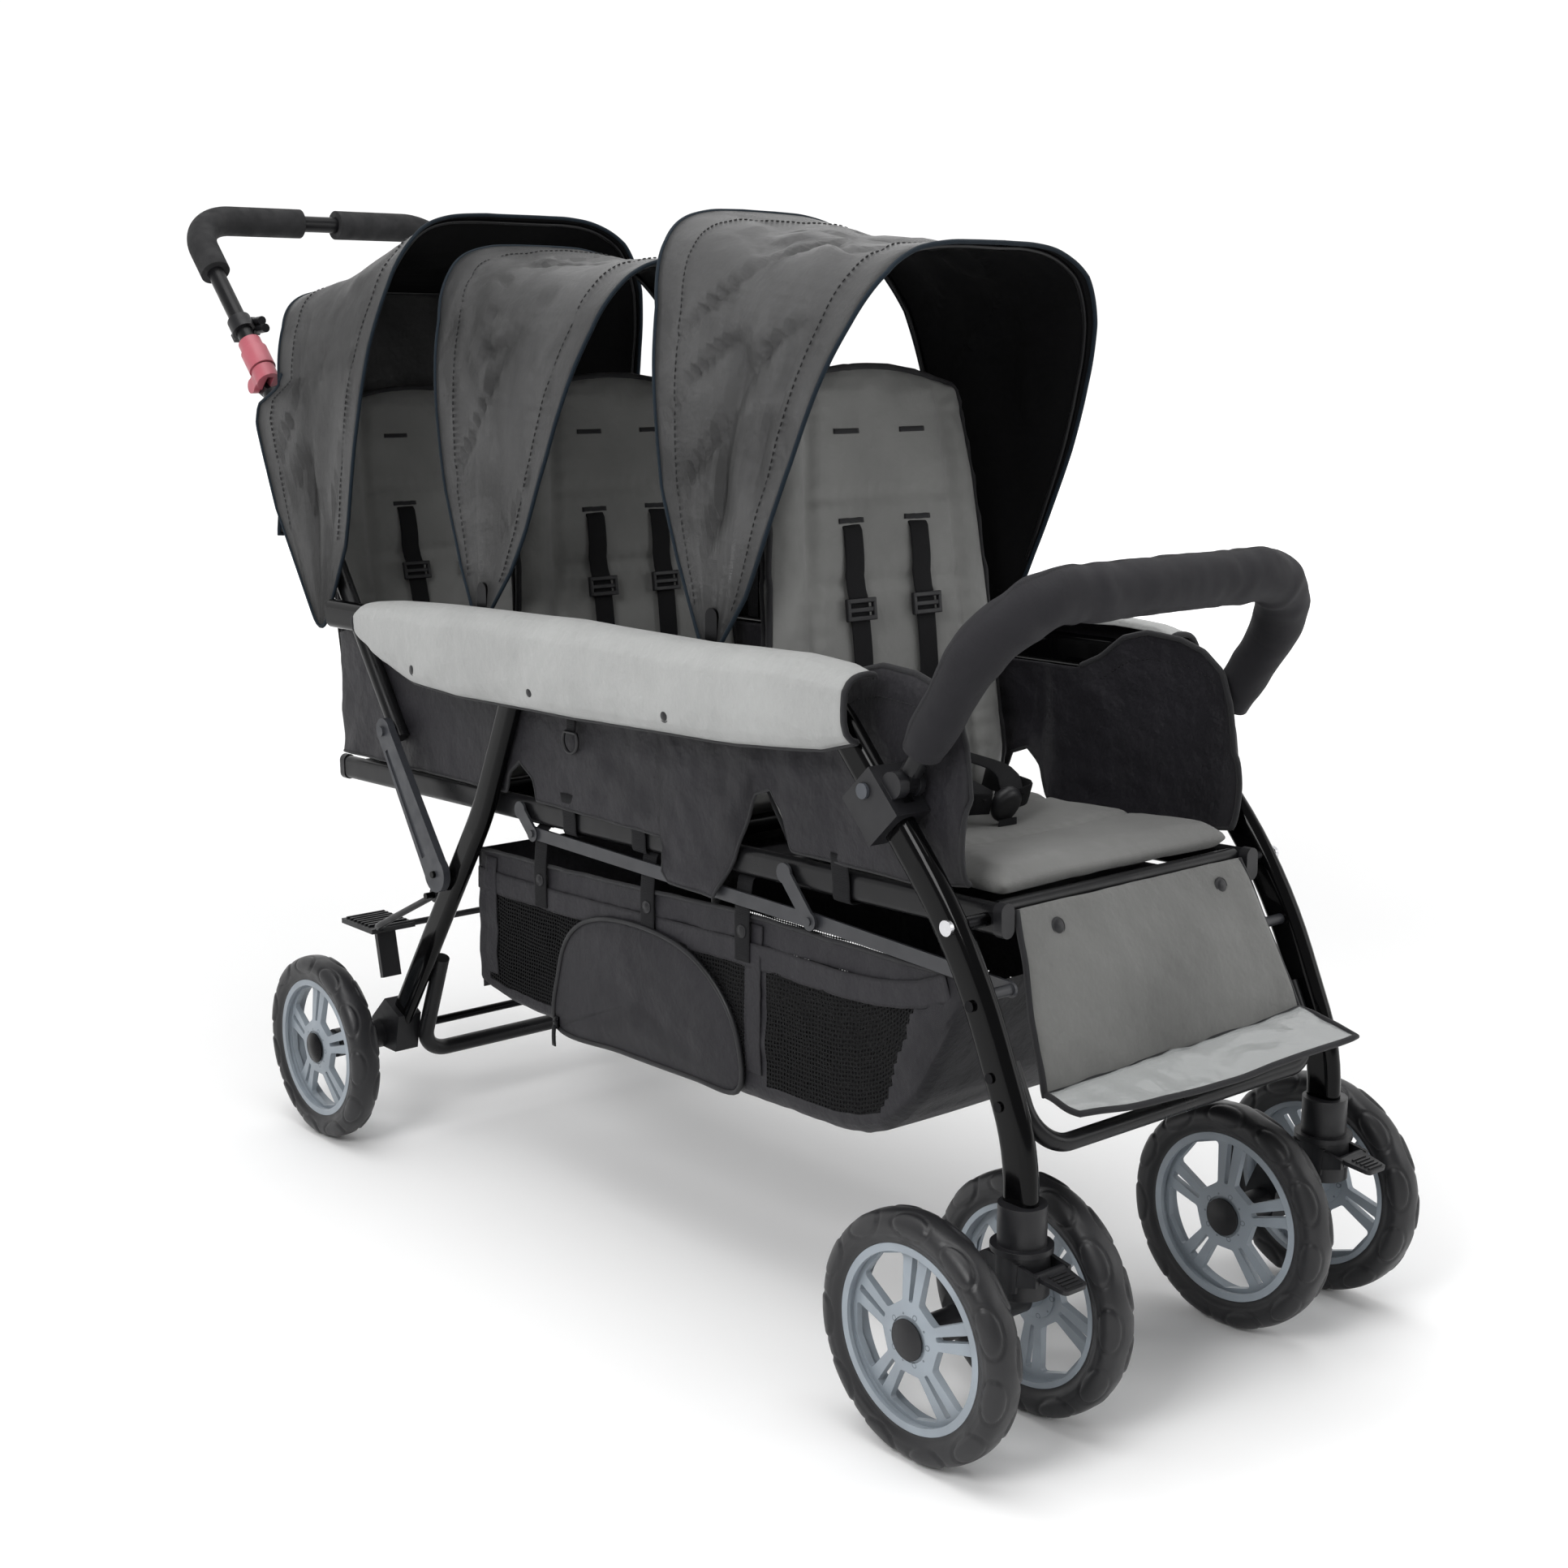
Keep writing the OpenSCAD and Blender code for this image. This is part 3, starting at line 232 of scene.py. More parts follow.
thread_black = finish("thread_black", (0.006, 0.006, 0.007), 0.6)

# %% [markdown]
# The hoods are satin, and each crease is painted into the colour: painted shade in the valley, a painted highlight on
# the ridge. One warped noise, drawn out along the height of the hood, drives the painted shade and the relief
# together.

# %% Satin creases of the hoods, with painted shade and highlights
hood_grey = finish("hood_grey", (0.024, 0.024, 0.0245), 0.3, Sheen_Weight=0.02, Sheen_Roughness=0.5,
                   Specular_IOR_Level=0.45)
creased = node(hood_grey, "ShaderNodeMapping", {"Vector": node(hood_grey, "ShaderNodeTexCoord").outputs["Object"],
                                                "Rotation": (0.5, 0.0, 0.0), "Scale": (1.0, 1.0, 0.7)}).outputs[0]
crease = node(hood_grey, "ShaderNodeTexNoise", {"Vector": creased, "Scale": 7.0, "Detail": 1.2, "Roughness": 0.4,
                                                "Distortion": 0.7}).outputs["Fac"]
# Base colour from the crease noise: painted shade in the valleys, painted highlight on the ridges.
painted_fold_shading = node(hood_grey, "ShaderNodeValToRGB", {"Fac": crease})
valley_painted_shade, ridge = painted_fold_shading.color_ramp.elements
# The valley stop is painted shade and the ridge stop a painted highlight.
valley_painted_shade.position, valley_painted_shade.color = 0.36, (0.003, 0.003, 0.0032, 1)
ridge.position, ridge.color = 0.58, (0.025, 0.025, 0.0255, 1)
paint(hood_grey, painted_fold_shading.outputs["Color"])
relief(hood_grey, (crease, 0.05), (clouds(hood_grey, 40, 3), 0.003), (threads(hood_grey, 0.0009), 0.00012))

# %% [markdown]
# The basket's sides are an open net: diamond holes about 4 mm across, so the far side shows through. A transparent
# shader fills the holes. The same two crossed waves as for the weave, tilted, say where cord is and where a hole is.

# %% Net finish
net_black = finish("net_black", (0.004, 0.004, 0.0045), 0.7, Specular_IOR_Level=0.12)
cross = threads(net_black, 0.0085, "UV", "XY")
ridge = node(net_black, "ShaderNodeMath", {0: cross}, operation="ABSOLUTE").outputs[0]
hole = node(net_black, "ShaderNodeMath", {0: ridge, 1: 0.55}, operation="GREATER_THAN").outputs[0]
cord = node(net_black, "ShaderNodeMath", {0: 1.0, 1: hole}, operation="SUBTRACT").outputs[0]
paint(net_black, cord, "Alpha")
relief(net_black, (cross, 0.0004))

# %% [markdown]
# Hard finishes. Powder coat is nearly smooth with a faint orange peel. Moulded plastic has a fine spark-eroded grain
# and scuffs where hands and kerbs reach it. A shader bevel rounds each sharp CAD edge by under a millimetre, as on
# any moulding, so that edges catch a line of light.

# %% Hard finishes


def moulded(name, color, roughness, grain=0.00006, edge=0.0006, **sockets):
    material = finish(name, color, roughness, **sockets)
    uneven(material, color, 0.12, 14)
    wear = node(material, "ShaderNodeMapRange", {"Value": clouds(material, 60, 5), "From Min": 0.3, "From Max": 0.7,
                                                 "To Min": roughness * 0.8, "To Max": min(1, roughness * 1.25)})
    paint(material, wear.outputs[0], "Roughness")
    rounded = node(material, "ShaderNodeBevel", {"Radius": edge}, samples=4).outputs["Normal"]
    grains = node(material, "ShaderNodeBump", {"Height": clouds(material, 1400, 1), "Distance": grain,
                                               "Strength": 1.0, "Normal": rounded})
    paint(material, grains.outputs["Normal"], "Normal")
    return material


gloss_tube = moulded("gloss_tube", (0.0015, 0.0015, 0.0017), 0.1, 0.00001, 0.0004, Specular_IOR_Level=0.14)
satin_tube = moulded("satin_tube", (0.006, 0.006, 0.0068), 0.32, 0.00002, 0.0004, Specular_IOR_Level=0.24)
link_coat = moulded("link_coat", (0.022, 0.023, 0.027), 0.4, 0.00002, 0.0005)
brace_plastic = moulded("brace_plastic", (0.03, 0.032, 0.038), 0.48)
black_plastic = moulded("black_plastic", (0.009, 0.009, 0.0105), 0.42, Specular_IOR_Level=0.35)
grey_plastic = moulded("grey_plastic", (0.045, 0.05, 0.06), 0.45)
rim_plastic = moulded("rim_plastic", (0.26, 0.295, 0.33), 0.42, 0.00003)
rose_plastic = moulded("rose_plastic", (0.36, 0.085, 0.11), 0.42)
tyre_black = moulded("tyre_black", (0.013, 0.013, 0.0145), 0.4, 0.00008, 0.0005, Specular_IOR_Level=0.4)
hand_foam = moulded("hand_foam", (0.017, 0.017, 0.018), 0.78, 0.00035, 0.0015, Specular_IOR_Level=0.3)
zinc = moulded("zinc", (0.62, 0.62, 0.64), 0.28, 0.00001, 0.0004, Metallic=1.0)

# %% [markdown]
# Round the cap of each rim runs a ring of five moulded circles and five dots. The pattern repeats every 72 degrees,
# so the angle is folded to one span, and the distance to the middle of the circle is measured in metres there.

# %% Moulded circles on the rims
rim_width = 0.167
in_box = node(rim_plastic, "ShaderNodeTexCoord").outputs["Generated"]
from_hub = node(rim_plastic, "ShaderNodeVectorMath", {0: in_box, 1: (0.5, 0.5, 0.5)}, operation="SUBTRACT").outputs[0]
hub = node(rim_plastic, "ShaderNodeSeparateXYZ", {"Vector": from_hub}).outputs


def maths(operation, *values):
    return node(rim_plastic, "ShaderNodeMath", dict(enumerate(values)), operation=operation).outputs[0]


def hypotenuse(a, b):
    return maths("SQRT", maths("ADD", maths("MULTIPLY", a, a), maths("MULTIPLY", b, b)))


radius = maths("MULTIPLY", hypotenuse(hub["Y"], hub["Z"]), rim_width)
turn = maths("ARCTAN2", hub["Z"], hub["Y"])
ring_radius, span = 0.0225, math.radians(72)
marks = []
for shift, low, high in ((0.0, 0.0018, 0.0027), (span / 2, 0.0, 0.0011)):
    folded = maths("SUBTRACT", maths("WRAP", maths("ADD", turn, shift), span, 0.0), span / 2)
    away = hypotenuse(maths("MULTIPLY", folded, ring_radius), maths("SUBTRACT", radius, ring_radius))
    marks.append(maths("MULTIPLY", maths("GREATER_THAN", away, low), maths("LESS_THAN", away, high)))
plain_rim = rim_plastic.node_tree.nodes["Principled BSDF"].inputs["Base Color"].links[0].from_socket
marked = node(rim_plastic, "ShaderNodeMix", {"Factor": maths("MAXIMUM", *marks), "A": plain_rim,
                                             "B": (0.12, 0.14, 0.16, 1)}, data_type="RGBA")
paint(rim_plastic, marked.outputs["Result"])

# %% [markdown]
# Most bolts are blackened. Only the two outer ones at the seat rails' front end are bright zinc, so the colour goes
# by place: near their height, and outside the rails. The floor glows a little where it is far away, which hides
# the horizon. The vinyl is clear with slow waves.

# %% Bolts, floor and vinyl
spot = node(zinc, "ShaderNodeSeparateXYZ", {0: node(zinc, "ShaderNodeNewGeometry").outputs["Position"]}).outputs
level = node(zinc, "ShaderNodeMath", {0: spot["Z"], 1: 0.45, 2: 0.035}, operation="COMPARE").outputs[0]
aside = node(zinc, "ShaderNodeMath", {0: spot["X"]}, operation="ABSOLUTE").outputs[0]
outer = node(zinc, "ShaderNodeMath", {0: aside, 1: 0.2}, operation="GREATER_THAN").outputs[0]
bright = node(zinc, "ShaderNodeMath", {0: level, 1: outer}, operation="MULTIPLY").outputs[0]
tone = node(zinc, "ShaderNodeMix", {"Factor": bright, "A": (0.012, 0.012, 0.013, 1), "B": (0.62, 0.62, 0.64, 1)},
            data_type="RGBA")
paint(zinc, tone.outputs["Result"])
floor_white = finish("floor_white", (0.93, 0.93, 0.93), 0.7, Specular_IOR_Level=0.1, Emission_Color=(1, 1, 1, 1))
uneven(floor_white, (0.93, 0.93, 0.93), 0.006, 1.5)
from_middle = node(floor_white, "ShaderNodeTexCoord").outputs["Object"]
reach = node(floor_white, "ShaderNodeVectorMath", {0: from_middle}, operation="LENGTH").outputs["Value"]
far = node(floor_white, "ShaderNodeMapRange", {"Value": reach, "From Min": 1.0, "From Max": 5.0, "To Max": 0.62},
           interpolation_type="SMOOTHSTEP")
paint(floor_white, far.outputs[0], "Emission Strength")
floor.data.materials.append(floor_white)
clear_vinyl = finish("clear_vinyl", (0.62, 0.64, 0.64), 0.1, Alpha=0.32, IOR=1.45, Coat_Weight=0.6)
relief(clear_vinyl, (clouds(clear_vinyl, 22, 3), 0.004))

# %% [markdown]
# CAD meshes come in with one facet per flat face. A short geometry-nodes modifier shades them smooth wherever two
# facets meet at less than 32 degrees, so a bent tube looks round and a cut edge stays sharp. It moves nothing.

# %% Smooth shading for the CAD nodes
smoother = bpy.data.node_groups.new("smooth_by_angle", "GeometryNodeTree")
smoother.interface.new_socket("Geometry", in_out="INPUT", socket_type="NodeSocketGeometry")
smoother.interface.new_socket("Geometry", in_out="OUTPUT", socket_type="NodeSocketGeometry")
source = smoother.nodes.new("NodeGroupInput")
result = smoother.nodes.new("NodeGroupOutput")
weld = smoother.nodes.new("GeometryNodeMergeByDistance")
weld.inputs["Distance"].default_value = 0.00002
plain = smoother.nodes.new("GeometryNodeRemoveAttribute")
plain.inputs["Name"].default_value = "custom_normal"
angle = smoother.nodes.new("GeometryNodeInputMeshEdgeAngle")
gentle = smoother.nodes.new("FunctionNodeCompare")
gentle.operation = "LESS_THAN"
gentle.inputs["B"].default_value = math.radians(32)
faces = smoother.nodes.new("GeometryNodeSetShadeSmooth")
edges = smoother.nodes.new("GeometryNodeSetShadeSmooth")
edges.domain = "EDGE"
for a, b in [(source.outputs[0], plain.inputs["Geometry"]), (plain.outputs[0], weld.inputs["Geometry"]),
             (weld.outputs[0], faces.inputs["Geometry"]), (faces.outputs[0], edges.inputs["Geometry"]),
             (angle.outputs["Unsigned Angle"], gentle.inputs["A"]), (gentle.outputs[0], edges.inputs["Shade Smooth"]),
             (edges.outputs[0], result.inputs[0])]:
    smoother.links.new(a, b)

hard_finishes = {
    "gloss_black_tube": gloss_tube, "satin_black_tube": satin_tube, "link_steel": link_coat,
    "brace_plastic": brace_plastic, "bare_steel": zinc, "black_plastic": black_plastic, "grey_plastic": grey_plastic,
    "rose_plastic": rose_plastic, "foam": hand_foam, "rim": rim_plastic, "tyre": tyre_black,
    "black_cloth": sleeve_black, "light_grey_cloth": pad_grey, "grey_cloth": seat_grey, "canopy_cloth": hood_grey,
    "webbing": webbing, "clear_vinyl": clear_vinyl}
slot_of = {part["node"]: part["material_slot"] for part in frame["record"]["subparts"]}
for name, obj in frame["nodes"].items():
    obj.data.materials.clear()
    obj.data.materials.append(hard_finishes[slot_of[name]])
    modifier = obj.modifiers.new("smooth", "NODES")
    modifier.node_group = smoother
print("finished", len(frame["nodes"]), "CAD nodes in", len(set(slot_of.values())), "finishes")

# %% [markdown]
# ## Soft goods
# A sewn piece is a surface with a place for every (u, v): across it and along it. These helpers turn such a rule
# into a mesh with real lengths in its UV map, sweep a round or flat section along a path, round off a path of
# corner points, and give repeatable random ripples. Nothing here is random from run to run.

# %% Helpers for meshes


def piece(name, points, faces, material, body, uv=None):
    mesh = bpy.data.meshes.new(name)
    mesh.from_pydata((np.asarray(points, float) * 0.001).tolist(), [], faces)
    for m in material if isinstance(material, (list, tuple)) else [material]:
        mesh.materials.append(m)
    mesh.polygons.foreach_set("use_smooth", [True] * len(mesh.polygons))
    if uv is not None:
        layer = mesh.uv_layers.new(name="lengths")
        corner = np.zeros(len(mesh.loops), np.int32)
        mesh.loops.foreach_get("vertex_index", corner)
        layer.data.foreach_set("uv", (np.asarray(uv)[corner] * 0.001).ravel())
    obj = bpy.data.objects.new(name, mesh)
    scene.collection.objects.link(obj)
    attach(obj, body)
    return obj


def quads(nu, nv, wrap=False):
    row = nu if wrap else nu + 1
    return [(j * row + i, j * row + (i + 1) % row, (j + 1) * row + (i + 1) % row, (j + 1) * row + i)
            for j in range(nv) for i in range(nu)]


def lengths(points):
    """Distance along each row and column of a grid of points, for its UV map."""
    steps_u = np.linalg.norm(np.diff(points, axis=1), axis=2).cumsum(1)
    steps_v = np.linalg.norm(np.diff(points, axis=0), axis=2).cumsum(0)
    across = np.concatenate([np.zeros_like(points[:, :1, 0]), steps_u], 1)
    down = np.concatenate([np.zeros_like(points[:1, :, 0]), steps_v], 0)
    middle = across.shape[1] // 2
    return np.stack([across - across[:, middle:middle + 1], down], 2)


def sewn(name, place, nu, nv, material, body, thickness=0.0, lining=None, flip=False):
    """A cloth surface from place(u, v), which gives x, y, z in mm for arrays u and v."""
    u, v = np.meshgrid(np.linspace(0, 1, nu + 1), np.linspace(0, 1, nv + 1))
    points = np.stack(place(u, v), 2)
    materials = [material, lining or material, binding_black]
    obj = piece(name, points.reshape(-1, 3), quads(nu, nv), materials, body, lengths(points).reshape(-1, 2))
    if flip:
        obj.data.flip_normals()
    obj["area"] = sum(face.area for face in obj.data.polygons)
    if thickness:
        thick = obj.modifiers.new("cloth", "SOLIDIFY")
        thick.thickness, thick.offset = thickness, 0
        thick.material_offset = thick.material_offset_rim = 1
    return obj


def sweep(name, path, radius, material, body, sides=10, closed=False, across=None, height=None):
    """A round cord of that radius along a path, or a flat strap if across (its width direction) is given."""
    path = np.asarray(path, float)
    if closed:
        ahead, behind = np.roll(path, -1, 0), np.roll(path, 1, 0)
        tangent = ahead - behind
    else:
        tangent = np.gradient(path, axis=0)
    tangent /= np.linalg.norm(tangent, axis=1)[:, None]
    if across is None:
        side = np.cross(tangent[0], [0.31, 0.42, 0.85])
        sidewise = []
        for t in tangent:
            side = side - t * (side @ t)
            side = side / np.linalg.norm(side)
            sidewise.append(side)
        sidewise = np.array(sidewise)
    else:
        sidewise = np.broadcast_to(np.asarray(across, float), path.shape)
        sidewise = sidewise - tangent * (sidewise * tangent).sum(1)[:, None]
        sidewise = sidewise / np.linalg.norm(sidewise, axis=1)[:, None]
    upward = np.cross(tangent, sidewise)
    turn = np.linspace(0, 2 * math.pi, sides, endpoint=False)
    wide = np.broadcast_to(np.asarray(radius, float), (len(path),))[:, None]
    tall = wide if height is None else np.full_like(wide, height / 2)
    c, s = np.cos(turn)[None], np.sin(turn)[None]
    if height is not None:
        c, s = np.sign(c) * abs(c) ** 0.35, np.sign(s) * abs(s) ** 0.6
    points = (path[:, None] + sidewise[:, None] * (wide * c)[..., None] + upward[:, None] * (tall * s)[..., None])
    n = len(path)
    faces = quads(sides, n - 1, True)
    if closed:
        faces += [((n - 1) * sides + i, (n - 1) * sides + (i + 1) % sides, (i + 1) % sides, i) for i in range(sides)]
    else:
        faces += [tuple(range(sides))[::-1], tuple(range((n - 1) * sides, n * sides))]
    run = np.r_[0, np.linalg.norm(np.diff(path, axis=0), axis=1).cumsum()][:, None]
    uv = np.stack(np.broadcast_arrays(turn[None] * wide, run), 2)
    return piece(name, points.reshape(-1, 3), faces, material, body, uv.reshape(-1, 2))


def curve(points, step=8.0, closed=False):
    """A smooth path through the points (Catmull-Rom), with a point about every step mm."""
    p = np.asarray(points, float)
    p = np.vstack([p[-1], p, p[0], p[1]]) if closed else np.vstack([2 * p[0] - p[1], p, 2 * p[-1] - p[-2]])
    out = []
    for a, b, c, d in zip(p, p[1:], p[2:], p[3:]):
        count = max(2, int(np.linalg.norm(c - b) / step))
        t = np.linspace(0, 1, count, endpoint=False)[:, None]
        square, cube = 2 * a - 5 * b + 4 * c - d, 3 * b - a - 3 * c + d
        out.append(0.5 * (2 * b + (c - a) * t + square * t ** 2 + cube * t ** 3))
    return np.vstack(out if closed else out + [p[-2]])


def along(path, step):
    """The same path with points evenly spaced, step mm apart."""
    path = np.asarray(path, float)
    s = np.r_[0, np.linalg.norm(np.diff(path, axis=0), axis=1).cumsum()]
    at = np.linspace(0, s[-1], max(2, int(s[-1] / step) + 1))
    return np.stack([np.interp(at, s, path[:, k]) for k in range(path.shape[1])], 1)


def ripple(points, size, seed=0.0):
    """Smooth repeatable noise, about -1 to 1, in lumps of about size mm."""
    points = np.asarray(points)
    shift = Vector((seed, seed * 1.7, seed * 2.3))
    return np.array([noise.noise(Vector(p) / size + shift) for p in points.reshape(-1, 3)]).reshape(points.shape[:-1])


def stack(*columns):
    return np.stack(columns, -1)


def on(place, u, v):
    """One point of a surface rule."""
    return np.array(place(np.array([u]), np.array([v])))[:, 0]


def run_on(place, us, vs):
    """Points of a surface rule along one of its edges or seams; the other coordinate is a single number."""
    return np.array([on(place, u, v) for u, v in zip(*np.broadcast_arrays(us, vs))])


def strap(name, path, half_width, body, across, height=1.7):
    return sweep(name, path, half_width, webbing, body, 12, across=across, height=height)


def binding(name, path, radius, body="frame", sides=8, closed=False):
    return sweep(name, path, radius, binding_black, body, sides, closed=closed)


def stitches(name, path, body, length=3.4, gap=1.7, radius=0.55, material=None):
    """A row of sewn stitches: one short rounded dash of thread for every stitch length along a path."""
    line = along(path, (length + gap) / 2)
    points, faces = [], []
    for a, b in zip(line[0:-1:2], line[1::2]):
        d = (b - a) / max(np.linalg.norm(b - a), 1e-6)
        side = np.cross(d, [0.36, 0.48, 0.8])
        side /= np.linalg.norm(side)
        other = np.cross(d, side)
        end = a + d * length
        base = len(points)
        for e, grow in ((a, 0.3), (a + d * 0.8, 1), (end - d * 0.8, 1), (end, 0.3)):
            points += [e + radius * grow * (side * math.cos(q) + other * math.sin(q)) for q in (0.8, 2.4, 4.0, 5.5)]
        faces += [tuple(base + q for q in f) for f in quads(4, 3, True)]
    return piece(name, points, faces, material or thread_black, body)


def dome(name, center, normal, radius, height, material, body):
    """A snap or rivet head: a low dome with a rolled rim, facing along normal."""
    n = Vector(normal).normalized()
    turn = n.to_track_quat("Z", "Y").to_matrix()
    rings = [(1.0, -0.6), (1.06, 0.0), (1.0, 0.35), (0.9, 0.42), (0.84, 0.3), (0.7, 0.62), (0.4, 0.9), (0.0, 1.0)]
    points = [Vector(center) + turn @ Vector((r * radius * math.cos(a), r * radius * math.sin(a), h * height))
              for r, h in rings for a in np.linspace(0, 2 * math.pi, 20, endpoint=False)]
    return piece(name, points, quads(20, len(rings) - 1, True), material, body)


def smoothstep(a, b, x):
    t = np.clip((x - a) / (b - a), 0, 1)
    return t * t * (3 - 2 * t)


def bulge(t, n):
    return np.clip(1 - abs(t) ** n, 0, None) ** (1 / n)


def subdivide(obj):
    modifier = obj.modifiers.new("smoother", "SUBSURF")
    modifier.levels = modifier.render_levels = 1


sides = ((-1, "right"), (1, "left"))


# %% [markdown]
# ## Seat pads
# A seat cushion is foam in a sewn cover. It starts as a low pad, is remeshed into even small faces, and then the
# Cloth simulation blows it up gently, so that its sides pull in between the corners as a real cover does. The sewn
# channels come afterwards: each is a groove with small puckers either side, where the thread gathers the cloth.

# %% Blow up one cushion and one backrest


def inflate(name, place, nu, nv, voxel, cap):
    """Closed pad from place(u, v, side), remeshed and blown up by cloth simulation. Gives its points and faces."""
    u, v = np.meshgrid(np.linspace(0, 1, nu + 1), np.linspace(0, 1, nv + 1))
    outer, inner = np.stack(place(u, v, 1), 2).reshape(-1, 3), np.stack(place(u, v, 0), 2).reshape(-1, 3)
    count, row = len(outer), nu + 1
    rim = ([(i, i + 1) for i in range(nu)] + [(j * row + nu, (j + 1) * row + nu) for j in range(nv)]
           + [(nv * row + i + 1, nv * row + i) for i in reversed(range(nu))]
           + [((j + 1) * row, j * row) for j in reversed(range(nv))])
    faces = quads(nu, nv)
    faces += [tuple(q + count for q in reversed(f)) for f in faces] + [(b, a, a + count, b + count) for a, b in rim]
    mesh = bpy.data.meshes.new(name)
    mesh.from_pydata((np.vstack([outer, inner]) * 0.001).tolist(), [], faces)
    obj = bpy.data.objects.new(name, mesh)
    scene.collection.objects.link(obj)
    remesh = obj.modifiers.new("remesh", "REMESH")
    remesh.mode, remesh.voxel_size = "VOXEL", voxel * 0.001
    graph = bpy.context.evaluated_depsgraph_get()
    even = bpy.data.meshes.new_from_object(obj.evaluated_get(graph))
    obj.modifiers.clear()
    obj.data = even
    start = np.zeros(len(even.vertices) * 3, np.float32)
    even.vertices.foreach_get("co", start)
    start = start.reshape(-1, 3).astype(float)
    moved = start
    sim = obj.modifiers.new("cloth", "CLOTH")
    sim.settings.quality = 4
    sim.settings.mass = 0.25
    sim.settings.use_pressure = True
    sim.settings.uniform_pressure_force = 4
    sim.settings.effector_weights.gravity = 0
    sim.settings.tension_stiffness = sim.settings.compression_stiffness = 25
    for step in range(1, 21):
        scene.frame_set(step)
    graph = bpy.context.evaluated_depsgraph_get()
    blown = obj.evaluated_get(graph).data
    moved = np.zeros(len(start) * 3, np.float32)
    blown.vertices.foreach_get("co", moved)
    moved = moved.reshape(-1, 3).astype(float)
    shift = moved - start
    far = np.linalg.norm(shift, axis=1)[:, None]
    moved = start + shift * np.minimum(1, cap * 0.001 / np.maximum(far, 1e-9))
    scene.frame_set(1)
    polygons = [tuple(f.vertices) for f in even.polygons]
    bpy.data.objects.remove(obj)
    most = float(np.linalg.norm(moved - start, axis=1).max()) * 1000
    print(name, len(polygons), "faces, moved up to", round(most, 1), "mm")
    return moved * 1000, polygons


def groove(distance, along_seam, depth, width, pucker=0.0, pitch=16.0):
    """Depth of a sewn channel at some distance from its seam, with puckers that fade away from it."""
    cut = depth * np.exp(-(distance / width) ** 2)
    fold = pucker * np.exp(-(distance / (width * 2.6)) ** 2) * (1 - np.exp(-(distance / (width * 0.7)) ** 2))
    return cut + fold * np.sin(2 * math.pi * along_seam / pitch + 1.3 * np.sin(along_seam / 23.0))


seat_w, seat_depth, seat_t = 326.0, 284.0, 30.0
back_w, back_h, back_t, back_foot = 290.0, 462.0, 32.0, 17.0


def seat_pad(u, v, side):
    a, b = u * 2 - 1, v * 2 - 1
    crown = bulge(a, 6) * bulge(b, 6)
    x = a * (seat_w / 2 - 3) * (0.965 + 0.035 * abs(b) ** 3)
    y = b * (seat_depth / 2 - 2) * (0.985 + 0.015 * abs(a) ** 3)
    return x, y, (seat_t * (0.42 + 0.3 * crown) if side else 0 * a + 0.6 + seat_t * 0.3 * (1 - crown))


def back_half(h):
    h = np.clip(h, 0, 1)
    return (back_w / 2 + 19 * smoothstep(0, 0.13, h)) * (1 - 0.2 * h ** 1.8) * (0.72 + 0.28 * bulge(h, 7))


def back_pad(u, v, side):
    a, b = u * 2 - 1, v * 2 - 1
    crown = bulge(a, 7) * bulge(b, 10)
    x = a * (back_half(v) - 2)
    front = -back_t / 2 * (0.3 + 0.4 * crown)
    rear = back_t / 2 * (0.4 + 0.5 * crown)
    return x, (front if side else rear), back_foot + 2 + v * (back_h - 4) * (1 - 0.03 * a * a)


cushion_points, cushion_faces = inflate("cushion_form", seat_pad, 40, 36, 5.0, 7)
back_points, back_faces = inflate("back_form", back_pad, 30, 48, 5.0, 6)

# %% [markdown]
# The channels are cut into the blown-up forms. The seat has one dart across it behind the front edge. The backrest
# has a bolster down each side, a row of quilting at the shoulder straps and another below, and stays fuller at the
# head. Everything that bulges is kept inside the room that the CAD solid holds.

# %% Sew the channels
x, y, z = cushion_points.T
top = smoothstep(2, 14, z)
cut = groove(abs(y + 36), x, 5, 7, 1.0) + groove(abs(y - 78), x, 4.5, 7, 0.9)
dip_in = 5.5 * np.exp(-(x / 95) ** 2 - ((y - 25) / 80) ** 2)
z = z - top * (cut * smoothstep(1.0, 0.86, abs(x) / (seat_w / 2)) + dip_in)
z = z + top * 1.3 * ripple(cushion_points, 46, 3.1)
cushion_points = stack(np.clip(x, -seat_w / 2, seat_w / 2), np.clip(y, -seat_depth / 2 - 4, seat_depth / 2),
                       np.clip(z, 0.35, seat_t + 2))

x, y, z = back_points.T
share = np.clip((z - back_foot) / back_h, 0, 1)
reach = np.abs(x) / np.maximum(back_half(share), 1)
front = smoothstep(0, -8, y)
seam = back_half(share) * 0.66
rows = sum(groove(abs(z - h), x, 4.0, 6, 0.8) for h in (150, 262, 345)) * smoothstep(0.7, 0.62, reach)
bolster = groove(abs(abs(x) - seam), z, 6.5, 7, 1.1, 19)
bolster = bolster * smoothstep(back_foot, back_foot + 25, z) * smoothstep(470, 430, z)
swell = -3.2 * np.exp(-((reach - 0.84) / 0.1) ** 2) + 2.5 * np.exp(-(x / 60) ** 2) * smoothstep(430, 300, z)
y = y + front * (rows + bolster + swell) + front * 1.2 * ripple(back_points, 52, 7.7)
back_points = stack(x, np.clip(y, -back_t / 2 - 4, back_t / 2), np.clip(z, back_foot, back_foot + back_h + 3))
print("channels cut", round(float(cut.max()), 1), "mm into the seat,",
      round(float((rows + bolster).max()), 1), "mm into the back")

# %% [markdown]
# Each seat repeats the two forms: the cushion on the rails, the backrest on its hinge, leaning back. Piping is a
# thin cord sewn into the edge seam. It is laid by dropping a path onto the finished surface, so it never floats.

# %% Place the three seats
from mathutils.bvhtree import BVHTree

